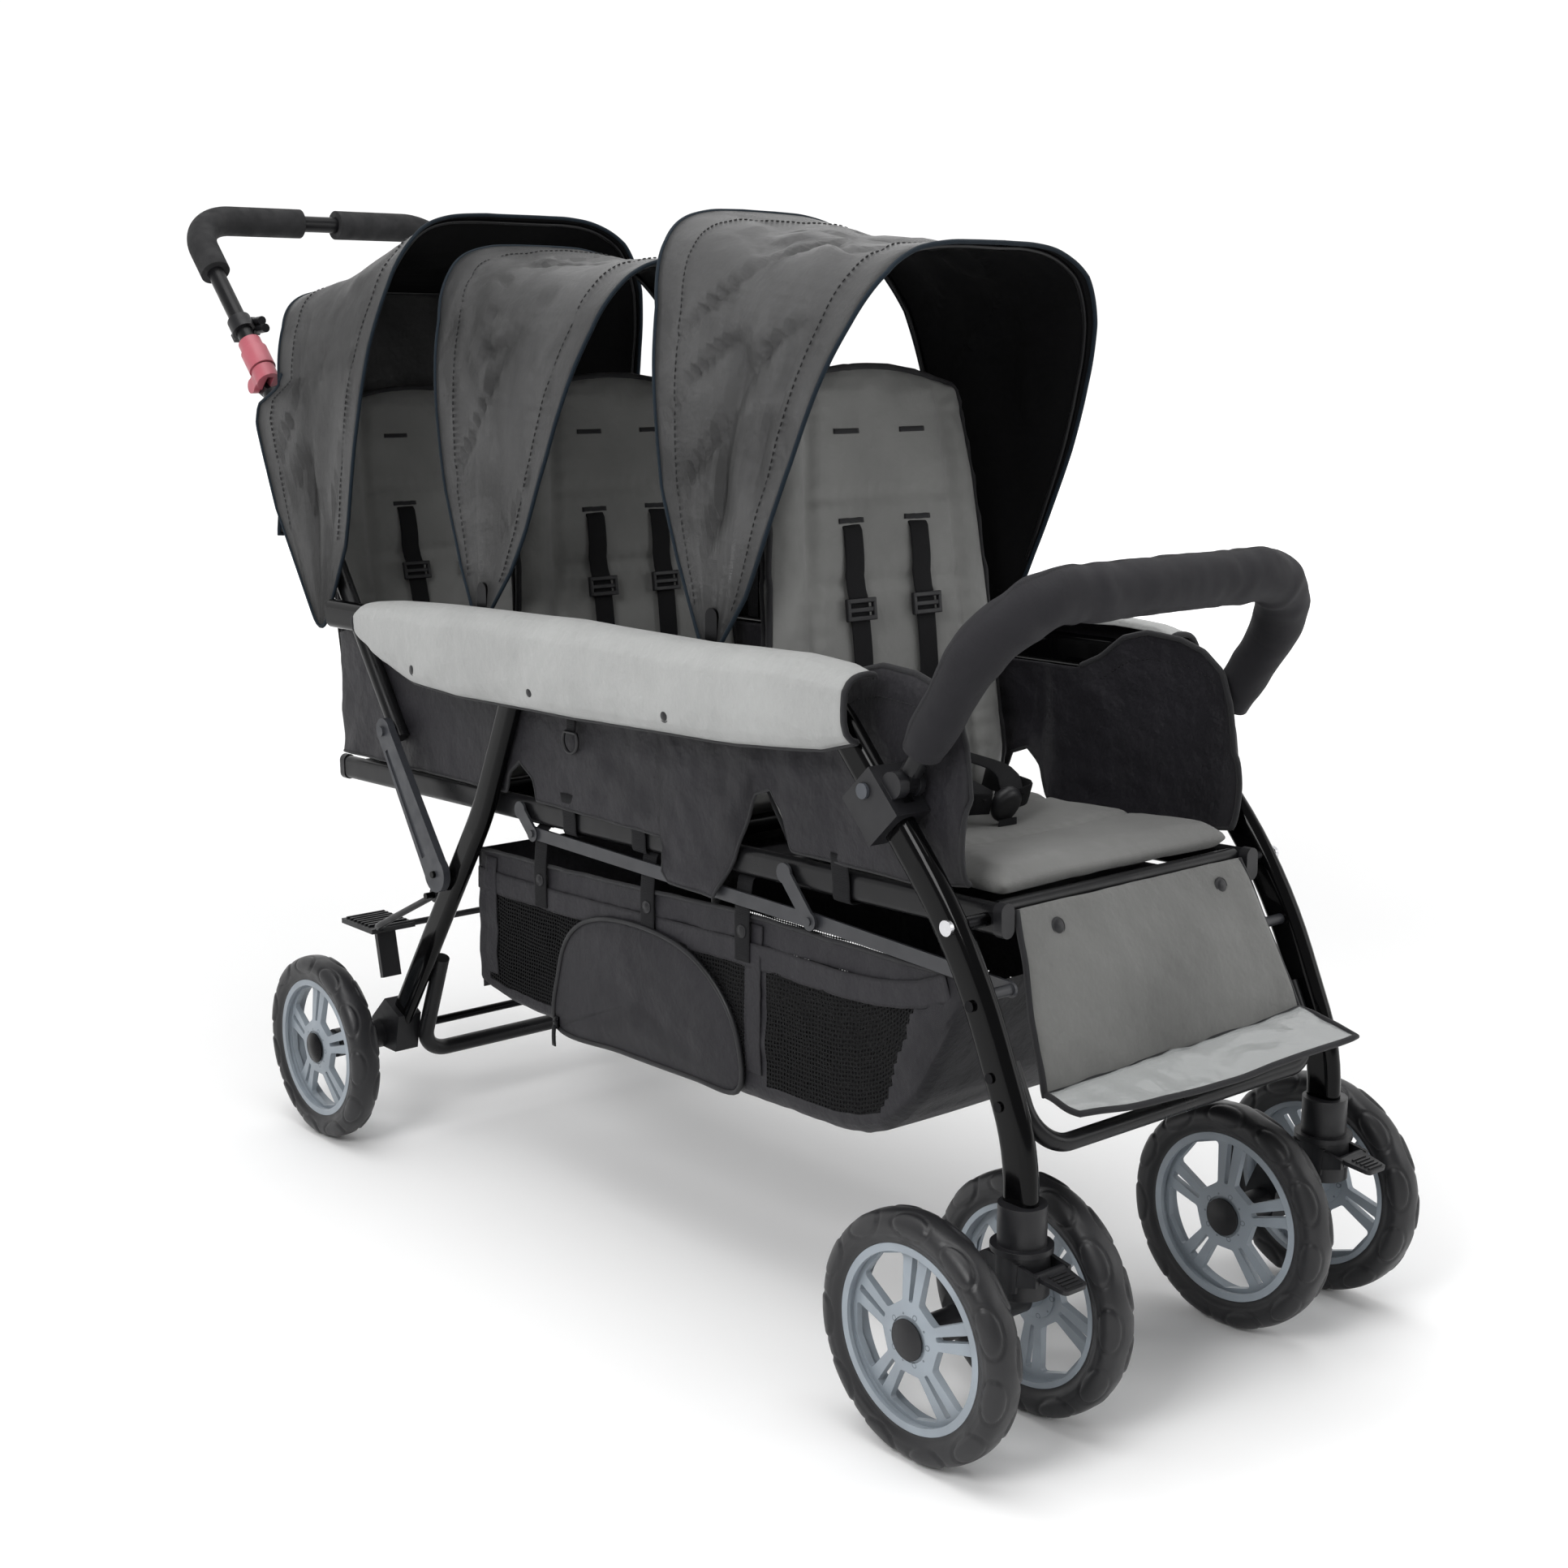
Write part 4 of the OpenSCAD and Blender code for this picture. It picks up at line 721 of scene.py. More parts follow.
slope = math.degrees(math.atan2(421 - 447, 446 + 664))
rake = [6.5, 6.5, 13.0]
seat_front = [-664.0, -237.0, 138.0]
back_y = [y0 + seat_depth + back_t / 2 + 2 for y0 in seat_front]
seats = ["front", "middle", "rear"]


def rail_height(y0):
    return 447 + (y0 + 664) * math.tan(math.radians(slope))


def placed(points, origin, tilt):
    """Turns points about X by tilt degrees and moves them to origin (y, z)."""
    p, a = np.asarray(points, float), math.radians(tilt)
    return np.stack([p[..., 0], origin[0] + p[..., 1] * math.cos(a) - p[..., 2] * math.sin(a),
                     origin[1] + p[..., 1] * math.sin(a) + p[..., 2] * math.cos(a)], -1)


def hug(path, surface, lift):
    """Drops each point of a path onto the nearest place of a surface, and lifts it off by some mm."""
    out = []
    for p in path:
        spot, normal, _, _ = surface.find_nearest(Vector(p))
        out.append(spot + normal * lift)
    return np.array(out)


def tree(points, faces):
    return BVHTree.FromPolygons([Vector(p) for p in points], faces)


cushion_tree, back_tree = tree(cushion_points, cushion_faces), tree(back_points, back_faces)
t = np.linspace(0, 2 * math.pi, 220, endpoint=False)
square = 0.16
rim = stack((seat_w / 2 - 1) * np.sign(np.cos(t)) * abs(np.cos(t)) ** square,
            (seat_depth / 2 - 1) * np.sign(np.sin(t)) * abs(np.sin(t)) ** square)
seat_piping = hug(np.c_[rim, np.full(len(rim), 19.0)], cushion_tree, 0.8)
h = np.linspace(0.0, 1.0, 90)
side_line = np.c_[-back_half(h) + 1.0, np.full(90, -7.0), back_foot + 1 + h * (back_h - 3)]
top_line = np.c_[np.linspace(-1, 1, 40)[1:-1] * back_half(1.0), np.full(38, -7.0), np.full(38, back_foot + back_h)]
back_outline = np.vstack([side_line, top_line, side_line[::-1] * [-1, 1, 1]])
back_piping = along(hug(back_outline, back_tree, 1.4), 6)
back_piping_rear = along(hug(back_outline * [1, -1, 1], back_tree, 0.8), 6)
slots = [(sx, hz) for sx in (-44, 44) for hz in (322, 408)]

for i, seat in enumerate(seats):
    middle = seat_front[i] + seat_depth / 2
    base = (middle, rail_height(middle) + 14.3)
    name = "cushion_" + seat
    pad = piece(name, placed(cushion_points, base, slope), cushion_faces, seat_grey, "frame")
    subdivide(pad)
    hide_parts("seat_cushion_" + seat)
    binding(name + "_piping", placed(seat_piping, base, slope), 3.2, closed=True)
    hinge = (back_y[i], rail_height(back_y[i]))
    body = "backrest_" + seat
    pad = piece(body + "_pad", placed(back_points, hinge, -rake[i]), back_faces, back_grey_painted_light, body)
    subdivide(pad)
    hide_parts(body)
    binding(body + "_piping", placed(back_piping, hinge, -rake[i]), 3.4, body)
    binding(body + "_rear_piping", placed(back_piping_rear, hinge, -rake[i]), 2.4, body)
    rod = np.array([(-back_w / 2, 0, 0), (-20, 0, 0), (20, 0, 0), (back_w / 2, 0, 0)], float)
    sweep(body + "_rod", placed(rod, hinge, -rake[i]), 8, satin_tube, body, 20)
    for s, side in sides:
        strip = np.array([(s * 110, back_t / 2 + 2, z0) for z0 in np.linspace(-4, 130, 12)])
        sweep(body + "_strut_" + side, placed(strip, hinge, -rake[i]), 10, satin_tube, body, 12,
              across=(1, 0, 0), height=3)
    for k, (sx, hz) in enumerate(slots):
        edge = hug([(sx + q, -30, hz) for q in np.linspace(-17, 17, 14)], back_tree, 0.3)
        sweep(body + f"_slot_{k}", placed(edge, hinge, -rake[i]), 2.6, binding_black, body, 8,
              across=(0, 0.2, 1), height=1.6)
print("seats placed, hinges at y", [round(q) for q in back_y])

# %% [markdown]
# ## Harness
# Each seat has two shoulder straps of 25 mm webbing that come out of slots in the backrest, run through plastic
# ladder sliders and end at the waist buckle, with a crotch strap sewn to the cushion. Webbing is a flat section
# swept along a path laid on the pad; the lower ends bend between backrest and seat, because they cross the recline.

# %% Straps, sliders and buckles


def slider(name, center, tilt, origin, body):
    """Ladder lock: a moulded frame with two bars, on the front of the pad."""
    wide, tall = 34, 22
    parts, faces = [], []

    def bar(x0, x1, z0, z1, y0, y1):
        base = len(parts)
        parts.extend((px, py, pz) for px in (x0, x1) for py in (y0, y1) for pz in (z0, z1))
        faces.extend([tuple(base + q for q in f) for f in
                      ((0, 1, 3, 2), (4, 6, 7, 5), (0, 4, 5, 1), (2, 3, 7, 6), (0, 2, 6, 4), (1, 5, 7, 3))])

    for s in (-1, 1):
        bar(s * wide / 2 - 2.2, s * wide / 2 + 2.2, -tall / 2, tall / 2, -3.4, 1.2)
    for k, deep in ((-1, 0.6), (-0.05, -0.6), (1, 0.6)):
        level = k * (tall / 2 - 2.4)
        bar(-wide / 2, wide / 2, level - 2.4, level + 2.4, -3.0 - deep, 0.4 - deep)
    points = placed(np.array(parts) + center, origin, tilt)
    obj = piece(name, points, faces, black_plastic, body)
    obj.data.polygons.foreach_set("use_smooth", [False] * len(obj.data.polygons))
    bevel = obj.modifiers.new("rounded", "BEVEL")
    bevel.width, bevel.segments = 0.0009, 2


for i, seat in enumerate(seats):
    hinge = (back_y[i], rail_height(back_y[i]))
    body = "backrest_" + seat
    buckle = np.array([0.0, back_y[i] - 150, rail_height(back_y[i]) + 62])
    for s, side in sides:
        upper = [(s * 44, -30, q) for q in np.linspace(322, 120, 22)]
        laid = hug(upper, back_tree, 1.5)
        laid[:, 1] -= 2.5 * np.sin(np.linspace(0, math.pi, 22)) + np.r_[0.0, np.linspace(0, 1.5, 21)]
        laid[0] += (0, 5, 1)
        world_path = placed(laid, hinge, -rake[i])
        low = curve([world_path[-1], world_path[-1] + (s * 3, -10, -28), (s * 34, buckle[1] + 40, buckle[2] + 24),
                     (s * 16, buckle[1] + 6, buckle[2] + 8)], 9)
        path = np.vstack([world_path[:-1], low])
        shoulder = strap(f"harness_{seat}_{side}", path, 12.5, body, (1, 0.0, 0.06 * s))
        shoulder.parent = None
        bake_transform(shoulder)
        if s < 0:
            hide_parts("harness_" + seat)
        slider(f"harness_slider_{seat}_{side}", laid[9] + (0, -1.2, 0), -rake[i], hinge, body)
        loop = curve([(s * 108, back_y[i] - 20, buckle[2] - 12), (s * 86, back_y[i] - 42, buckle[2] - 2),
                      (s * 50, buckle[1] + 18, buckle[2] + 3), (s * 18, buckle[1] + 2, buckle[2] + 2)], 8)
        strap(f"waist_strap_{seat}_{side}", loop, 11, "frame", (0.1, -0.25, 1))
    points = []
    shell = [(-17, -7), (-19, 4), (-13, 15), (0, 19), (13, 15), (19, 4), (17, -7), (10, -17), (0, -20), (-10, -17)]
    for depth, grow in ((-6, 0.8), (-5, 1.0), (4, 1.0), (6.5, 0.82), (7.2, 0.5)):
        points += [(buckle[0] + px * grow, buckle[1] - depth * 0.82 - pz * 0.3,
                    buckle[2] - depth * 0.3 + pz * grow * 0.95) for px, pz in shell]
    faces = quads(10, 4, True) + [tuple(range(9, -1, -1)), tuple(range(40, 50))]
    subdivide(piece(f"buckle_{seat}", points, faces, black_plastic, "frame"))
    crotch = curve([buckle + (0, -3, -14), buckle + (0, -4, -28), buckle + (0, -12, -42)], 6)
    strap(f"crotch_strap_{seat}", crotch, 12.5, "frame", (1, 0, 0))
print("harness on", len(seats), "seats")

# %% [markdown]
# ## Hoods
# Each hood is one curved sheet held by two wire bows that start together at the rail and lean apart. The side runs
# down to a rounded tongue. The table for each bow gives how far it has left the tongue at each share of its height;
# between the bows the cloth hangs in slightly and creases. The inside is a darker lining, and binding closes the edge.

# %% The three hoods
hoods = {
    "front": dict(tip=(-310, 654), half=189, body="canopy_front", tall=(366, 410), arch=(0.55, 0.55),
                  fore=[(0, -17), (0.04, -30), (0.1, -42), (0.235, -66), (0.47, -106), (0.65, -132), (0.8, -156),
                        (0.92, -171), (1, -172)],
                  rear=[(0, 17), (0.04, 28), (0.08, 37), (0.16, 54), (0.34, 82), (0.57, 100), (0.76, 116),
                        (0.92, 146), (1, 168)]),
    "middle": dict(tip=(89, 648), half=189, body="canopy_middle", tall=(372, 398), arch=(0.55, 0.55),
                   fore=[(0, -17), (0.04, -32), (0.1, -46), (0.243, -80), (0.45, -116), (0.63, -142), (0.8, -166),
                         (0.92, -174), (1, -174)],
                   rear=[(0, 17), (0.04, 30), (0.11, 46), (0.33, 78), (0.6, 104), (0.78, 120), (0.92, 148),
                         (1, 170)]),
    "rear": dict(tip=(427, 616), half=202, body="canopy_rear", tall=(466, 386), arch=(0.3, 0.44),
                 fore=[(0, -20), (0.04, -36), (0.1, -46), (0.23, -64), (0.43, -84), (0.67, -112), (0.82, -134),
                       (0.94, -144), (1, -137)],
                 rear=[(0, 18), (0.03, 40), (0.06, 54), (0.13, 80), (0.38, 122), (0.58, 156), (0.64, 150), (0.7, 98),
                       (0.88, 106), (1, 128)]),
}


def hood_rule(spec, seed):
    """Gives the rule of one hood: u runs from rail to rail over the head, v from the rear bow to the fore bow."""
    tip, half = spec["tip"], spec["half"]

    def place(u, v):
        a = math.pi * u
        c, s = np.cos(a), np.sin(a)
        w = v + 0.0 * u
        square = spec["arch"][0] + (spec["arch"][1] - spec["arch"][0]) * w
        h = np.clip(abs(s), 0, 1) ** square
        rear = np.interp(h, *zip(*spec["rear"]))
        fore = np.interp(h, *zip(*spec["fore"]))
        lean = rear + (fore - rear) * w
        tall = spec["tall"][1] + (spec["tall"][0] - spec["tall"][1]) * w
        between = np.sin(math.pi * w)
        roof = smoothstep(0.75, 1.0, h)
        x = half * np.sign(c) * abs(c) ** square
        y, z = tip[0] + lean, tip[1] + h * tall
        hang = between * h * (5 + 5 * roof)
        folds = np.sin(h * 3 + w * 17 + seed) * 1.2 * h * (1 - roof) + np.sin(w * 11 + c * 3.0 + seed) * 1.6 * roof
        sample = stack(x * 0.9, y, z * 0.55)
        folds = folds + 7.5 * ripple(sample, 62, seed) * h * (0.35 + 0.65 * between)
        folds = folds + 2.6 * ripple(sample, 24, seed + 5) * h
        drag = np.abs(ripple(stack(x * 0.8, y + z * 0.5, z * 0.35), 70, seed + 9))
        folds = folds - 9.0 * np.exp(-(drag / 0.075) ** 2) * between * smoothstep(0.1, 0.35, h)
        gather = np.sin((z + y * 0.7) / 9.0 + 5 * ripple(sample, 80, seed + 2))
        folds = folds + 3.2 * gather * smoothstep(0.4, 0.06, h) * between
        inward = hang - folds * (0.25 + 0.75 * between)
        x = x - np.sign(c) * (inward * (1 - roof) * smoothstep(0.02, 0.3, h) - 6.0 * smoothstep(0.14, 0.04, h))
        z = z - inward * roof
        return x, y, z - 15 * (1 - smoothstep(0, 0.12, h)) * (1 - (2 * w - 1) ** 2)

    return place


def outwards(line):
    """Directions from the middle of an arched line to each of its points."""
    out = line - line.mean(0)
    return out / np.linalg.norm(out, axis=1)[:, None]


for k, seat in enumerate(seats):
    spec = hoods[seat]
    place = hood_rule(spec, 2.0 + k * 3.7)
    hood = sewn("hood_" + seat, place, 120, 26, hood_grey, spec["body"], 0.0014, hood_lining)
    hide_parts("canopy_" + seat)
    edge = np.vstack([run_on(place, np.linspace(0, 1, 150), 1.0), run_on(place, 1.0, np.linspace(1, 0, 8)[1:-1]),
                      run_on(place, np.linspace(1, 0, 150), 0.0), run_on(place, 0.0, np.linspace(0, 1, 8)[1:-1])])
    sweep("hood_binding_" + seat, edge, 2.3, binding_navy, spec["body"], 8, closed=True)
    for v, word in ((0.14, "rear"), (0.86, "fore")):
        line = run_on(place, np.linspace(0.004, 0.996, 240), v)
        stitches(f"hood_stitch_{word}_{seat}", line + outwards(line) * 1.5, spec["body"], length=4.6,
                 gap=2.4, radius=0.75)
    for v, word in ((0.965, "fore"), (0.03, "rear")):
        line = run_on(place, np.linspace(0.01, 0.99, 90), v)
        sweep(f"hood_bow_{word}_{seat}", line - outwards(line) * 3.6, 2.4, satin_tube, spec["body"],
              8)
    print("hood", seat, "cloth", round(hood["area"], 3), "square metres")

# %% [markdown]
# Behind the rear seat a curtain hangs from the rear bow, so that the last child's back is closed in. It is cut a
# little wide and falls in soft pleats, with a bound hem.

# %% Rear curtain
spec = hoods["rear"]


def curtain(u, v):
    across = 0.12 + 0.76 * u
    tx, ty, tz = hood_rule(spec, 9.4)(1 - across, 0.02 + 0.0 * u)
    a = 1 - 2 * (1 - u)
    x = tx + (a * 181 - tx) * smoothstep(0, 0.7, v)
    y = ty - 3 + (583 - ty) * v ** 0.85
    z = tz - 1 + (703 - tz) * v
    pleat = 4.5 * np.sin(a * 13 + 0.6 * np.sin(v * 4)) * smoothstep(0.05, 0.8, v)
    return x, y + pleat + 3.0 * ripple(stack(x, 0 * x, z), 60, 8) * smoothstep(0, 0.2, v), z


drop = sewn("rear_curtain", curtain, 90, 40, hood_grey, "canopy_rear", 0.0014, hood_grey)
trim = np.vstack([run_on(curtain, 0.0, np.linspace(0, 1, 30)), run_on(curtain, np.linspace(0, 1, 60)[1:-1], 1.0),
                  run_on(curtain, 1.0, np.linspace(1, 0, 30))])
sweep("rear_curtain_binding", trim, 2.6, binding_navy, "canopy_rear", 8)
print("curtain", round(drop["area"], 3), "square metres")

# %% [markdown]
# ## Armrest pads
# A long padded sleeve wraps each side rail. Its section is a soft C: over the rail, down the outside, back under.
# The wadding swells between the snaps, so the outer face is fuller in the middle of each span and creased near the
# ends. Black binding runs along the lower edge and round both ends.

# %% Padded sleeves on the side rails


def table(y, rows):
    ys, zs = zip(*sorted(rows))
    return np.interp(y, ys, zs)


pad_front, pad_length = -543, 841
pad_top = [(-544, 646), (-520, 652), (-470, 655), (-330, 651), (-126, 653), (120, 648), (230, 644), (288, 640),
           (299, 630)]
pad_low = [(-544, 590), (-500, 578), (-382, 567), (-122, 559), (100, 556), (190, 560), (250, 578), (299, 604)]


pad_section = np.array([(199, 4), (200, -2), (207, -4), (217, -3), (224, 0), (230, 6), (235.5, 18), (236.5, 40),
                        (235.5, 60), (232, 76), (226, 86), (219.5, 90)])


def pad_rule(s):
    """Rule of one pad: u runs over the rail and down the outside, v from front to rear."""
    def place(u, v):
        y = pad_front + pad_length * v
        top, low = table(y, pad_top), table(y, pad_low)
        full = 16 + 4.0 * bulge(v * 2 - 1, 6)
        along_section = np.linspace(0, 1, len(pad_section))
        x = np.interp(u, along_section, pad_section[:, 0])
        drop = np.clip(np.interp(u, along_section, pad_section[:, 1]) / 90, -0.05, 1)
        z = top - drop * (top - low)
        outer = smoothstep(217, 232, x)
        sample = stack(x * 0 + 10 * s, y * 0.55, z)
        soft = 5.5 * ripple(sample, 34, 11 + s) + 3.0 * ripple(stack(x * 0, y, z * 0.8), 17, 4 + s)
        gather = 1.6 * np.sin(y / 7.5 + 2.0 * np.sin(y / 41)) * smoothstep(30, 0, z - low)
        round_out = 0.4 + 0.6 * np.sin(math.pi * np.clip(drop, 0.02, 0.98))
        x = x + outer * (full - 18 + soft * 0.75 + gather) * round_out
        z = z + (1 - outer) * 0.6 * ripple(sample, 40, 3)
        return s * np.clip(x, 198, 236.5), y, z

    return place


for s, side in sides:
    place = pad_rule(s)
    pad = sewn("armrest_pad_" + side, place, 44, 170, pad_grey, "frame", 0.0022, panel_black,
               flip=s < 0)
    if s < 0:
        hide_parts("armrest_pads")
    for word, us, vs in (("low", 1.0, np.linspace(0, 1, 180)), ("fore", np.linspace(0, 1, 40), 0.0),
                         ("aft", np.linspace(0, 1, 40), 1.0)):
        binding(f"armrest_binding_{word}_{side}", run_on(place, us, vs), 3.0, sides=10)
    inside = run_on(place, 0.94, np.linspace(0.01, 0.99, 200)) + (s * 0.9, 0, 0)
    stitches("armrest_stitch_" + side, inside, "frame", length=3, gap=2, radius=0.45)
    for k, y in enumerate((169, -59, -289)):
        spot = on(place, 0.78, (y - pad_front) / pad_length) - (s, 0, 0)
        dome(f"armrest_snap_{k}_{side}", spot, (s, 0, 0), 7.5, 3.2, black_plastic, "frame")

# %% [markdown]
# ## Side panels
# Black cloth closes each side from the rail to the seat rail. In front it rises into a padded wing that keeps the
# child's arms in. Below, it stops just above the rail where webbing loops hold it, hangs over the rail in two
# flaps, and arches over the steel hangers.

# %% Side panels with wings
panel_rear, panel_length = 436, 1075
panel_low = [(-640, 474), (-574, 464), (-409, 464), (-404, 470), (-394, 500), (-376, 518), (-354, 510), (-322, 440),
             (-296, 399), (-226, 401), (-212, 410), (-206, 444), (16, 446), (24, 470), (46, 486), (68, 470),
             (76, 447), (440, 444)]
panel_top = [(-641, 530), (-634, 590), (-622, 622), (-600, 640), (-571, 649), (-530, 652), (-500, 644), (-470, 622),
             (-440, 608), (300, 606), (380, 604), (440, 590)]


def panel_rule(s):
    """Rule of one side panel: u runs from the lower edge up, v from rear to front."""
    def place(u, v):
        y = panel_rear - panel_length * v
        low, top = table(y, panel_low), table(y, panel_top)
        z = low + (top - low) * u
        room = 4 + 9 * smoothstep(30, -80, y) * np.sin(math.pi * np.clip(u, 0, 1)) ** 0.7
        wing = smoothstep(-470, -520, y)
        puff = wing * 5 * np.sin(math.pi * u) ** 0.5
        soft = 4.5 * ripple(stack(0 * y, y * 0.8, z * 1.2), 44, 21 + s) + 2.0 * ripple(stack(0 * y, y, z), 19, 31 + s)
        drag = 1.8 * np.sin((y + z * 0.8) / 11.0) * smoothstep(0.45, 0.05, u)
        flap = 6 * smoothstep(430, 405, z) * smoothstep(-150, -215, y)
        x = 174 + room * 0.55 + (soft + drag) * np.clip(room / 9, 0.25, 1) * (1 - 0.6 * wing) + puff + flap
        return s * np.clip(x, 173.2, 187.0), y, z

    return place


for s, side in sides:
    place = panel_rule(s)
    panel = sewn("side_panel_" + side, place, 40, 300, panel_black, "frame", 0.002)
    if s < 0:
        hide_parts("side_panels")
    binding("side_panel_hem_" + side, run_on(place, 0.0, np.linspace(0, 1, 420)), 1.9)
    rise, crest = run_on(place, np.linspace(0, 1, 20), 1.0), run_on(place, 1.0, np.linspace(1, 0.82, 60))
    binding("wing_piping_" + side, along(np.vstack([rise, crest[1:]]), 5), 2.8)
    seam = run_on(place, 0.86, np.linspace(0.975, 0.84, 60)) + (s * 1.4, 0, 0)
    stitches("wing_seam_out_" + side, seam, "frame")
    stitches("wing_seam_in_" + side, seam - (s * 2.8, 0, 0), "frame")
    for k, y in enumerate((-42, -165, -474)):
        z = rail_height(y)
        loop = [(s * x, y, z + up) for x, up in ((177.5, 30), (176.5, 16), (174.6, 2), (174.2, -12), (170, -16.2),
                                                 (160, -16.2), (156.2, -8))]
        strap(f"rail_loop_{k}_{side}", curve(loop, 5), 12, "frame", (0, 1, 0), 1.6)
    tab = [(s * x, -64, z) for x, z in ((184, 572), (184.5, 560), (185.5, 545), (186, 534))]
    strap("ring_tab_" + side, tab, 8, "frame", (0, 1, 0), 2)
    a = np.linspace(0, 2 * math.pi, 40, endpoint=False)
    ring = stack(0 * a + s * 187.0, -64 + 13 * np.cos(a), 524 + np.clip(13.5 * np.sin(a), -14, 8.5))
    sweep("d_ring_" + side, ring, 1.9, black_plastic, "frame", 10, closed=True)
print("side panels and wings sewn")

# %% [markdown]
# A plain cloth sling is stretched between the seat rails under the cushions and sags a little between the cross
# tubes. It closes the view from the side through the arches of the panels.

# %% Seat sling


def sling(u, v):
    x, y = -153 + 306 * u, -640 + 1076 * v
    sag = 7 * np.sin(math.pi * u) * abs(np.sin(math.pi * v * 5.06))
    return x, y, rail_height(y) - 15 - sag


under = sewn("seat_sling", sling, 24, 120, panel_black, "frame", 0.0014)

# %% [markdown]
# ## Basket
# The basket is a long cloth tub under the seats. One sheet runs down one side, across the floor and up the other;
# towards the front the floor climbs, which makes the raked front end. Most of each side is net between solid bands.

# %% Basket tub
basket_rear, basket_length = 147, 787
floor_share = 0.42
floor_line = [(-640, 383), (-612, 334), (-573, 262), (-545, 234), (-522, 217), (-495, 206), (-460, 200), (-308, 197),
              (-11, 194), (90, 196), (135, 202), (147, 206)]
hem_line = [(-640, 388), (-571, 386), (-309, 386), (-33, 374), (147, 370)]


def tub(u, v):
    """u runs from the right hem over the floor to the left hem, v from rear to front."""
    y = basket_rear - basket_length * v
    low, hem = table(y, floor_line), table(y, hem_line)
    side = np.abs(u * 2 - 1)
    share = np.clip((side - floor_share) / (1 - floor_share), 0, 1)
    flare = 148 + 22 * np.sin(np.clip(share / 0.12, 0, 1) * math.pi / 2)
    x = np.sign(u - 0.5) * np.where(side < floor_share, side / floor_share * 148, flare)
    z = np.where(side < floor_share, low, low + (hem - low) * np.clip((share - 0.03) / 0.97, 0, 1) ** 1.05)
    sag = 5 * (1 - smoothstep(0.2, floor_share, side)) * np.sin(math.pi * np.clip(v, 0, 1)) * 0.4
    soft = 3.4 * ripple(stack(x * 0.2, y * 0.9, z * 1.3), 40, 51) + 1.6 * ripple(stack(x * 0.2, y, z), 17, 57)
    wall = smoothstep(0.5, 0.6, side)
    x = x + np.sign(u - 0.5) * wall * (soft * 0.8 - 1.5 + 2.0 * np.sin(math.pi * share))
    z = z - sag * 0.2 + (1 - wall) * soft * 0.5
    return np.clip(x, -173, 173), y + 0.0 * u, z


basket = sewn("basket_tub", tub, 110, 170, panel_black, "frame", 0.0012)
basket.data.materials[1] = panel_black
basket.data.materials.append(net_black)
net_faces = 0
for face in basket.data.polygons:
    x, y, z = (q * 1000 for q in face.center)
    low, hem = float(table(y, floor_line)), float(table(y, hem_line))
    slant = -578 + (381 - z) * 0.36
    first = -330 < y < 128
    second = slant < y < -360
    if abs(x) > 160 and (first or second) and low + 22 < z < hem - (26 if x < 0 else 118):
        face.material_index = 3
        net_faces += 1
basket.modifiers.remove(basket.modifiers["cloth"])
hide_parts("basket")


def back_wall(u, v):
    x = -170 + 340 * u
    z = 206 + (370 - 206) * v
    bow = 3 * np.sin(math.pi * u) * np.sin(math.pi * v)
    return x * (0.985 + 0.015 * v), 146 + 0 * u - bow + 0.8 * ripple(stack(x, 0 * x, z), 40, 3), z


wall = sewn("basket_rear_wall", back_wall, 40, 20, panel_black, "frame", 0.0014)
for s, side in sides:
    hem_u = 0.0 if s < 0 else 1.0
    binding("basket_hem_" + side, run_on(tub, hem_u, np.linspace(0, 1, 160)), 2.4)
    lower = run_on(tub, 0.5 + s * (0.5 - 0.055), np.linspace(0, 0.96, 160)) + (s * 0.9, 0, 0)
    sweep("basket_band_" + side, lower, 13, panel_black, "frame", 12, across=(0, 0, 1), height=1.6)
    for k, y in enumerate((120, -345)):
        line = run_on(tub, 0.5 + s * np.linspace(0.27, 0.49, 24), (basket_rear - y) / basket_length) + (s * 1.1, 0, 0)
        sweep(f"basket_rib_{k}_{side}", line, 11, panel_black, "frame", 12, across=(0, 1, 0),
              height=1.4)
    for k, y in enumerate((17, -177, -330)):
        top = on(tub, hem_u, (basket_rear - y) / basket_length)[2]
        rail = rail_height(y)
        line = [(s * x, y, z) for x, z in ((173.4, top - 46), (173.6, top - 20), (173.2, top + 2), (168.5, rail - 17),
                                           (162, rail - 15.5), (156.6, rail - 6))]
        strap(f"basket_strap_{k}_{side}", curve(line, 6), 11.5, "frame", (0, 1, 0), 1.6)
        dome(f"basket_snap_{k}_{side}", (s * 174.4, y, top - 16), (s, 0, 0), 6.5, 3, black_plastic, "frame")
print("basket:", net_faces, "net faces, cloth", round(basket["area"], 3), "square metres")

# %% [markdown]
# On the near side a D-shaped pocket is sewn onto the net. It is a puffed patch with a zip all round its curve.

# %% Zip pocket
outline = curve([(-14, 197), (-17, 262), (-40, 308), (-90, 334), (-170, 341), (-245, 330), (-300, 296),
                 (-326, 250), (-322, 205), (-250, 201), (-130, 198)], 9, closed=True)
ring = np.vstack([outline, outline[:1]])
centre = np.array([-168.0, 262.0])


def patch(u, v):
    """u runs round the outline, v from the middle out to it."""
    i = u * len(outline)
    y0 = np.interp(i, np.arange(len(ring)), ring[:, 0])
    z0 = np.interp(i, np.arange(len(ring)), ring[:, 1])
    y, z = centre[0] + (y0 - centre[0]) * v, centre[1] + (z0 - centre[1]) * v
    puff = 7.5 * (1 - v ** 5) + 2.6 * ripple(stack(0 * y, y, z * 1.2), 30, 71) * (1 - v ** 6)
    return -(173.4 + np.clip(puff, 0, 12)), y, z


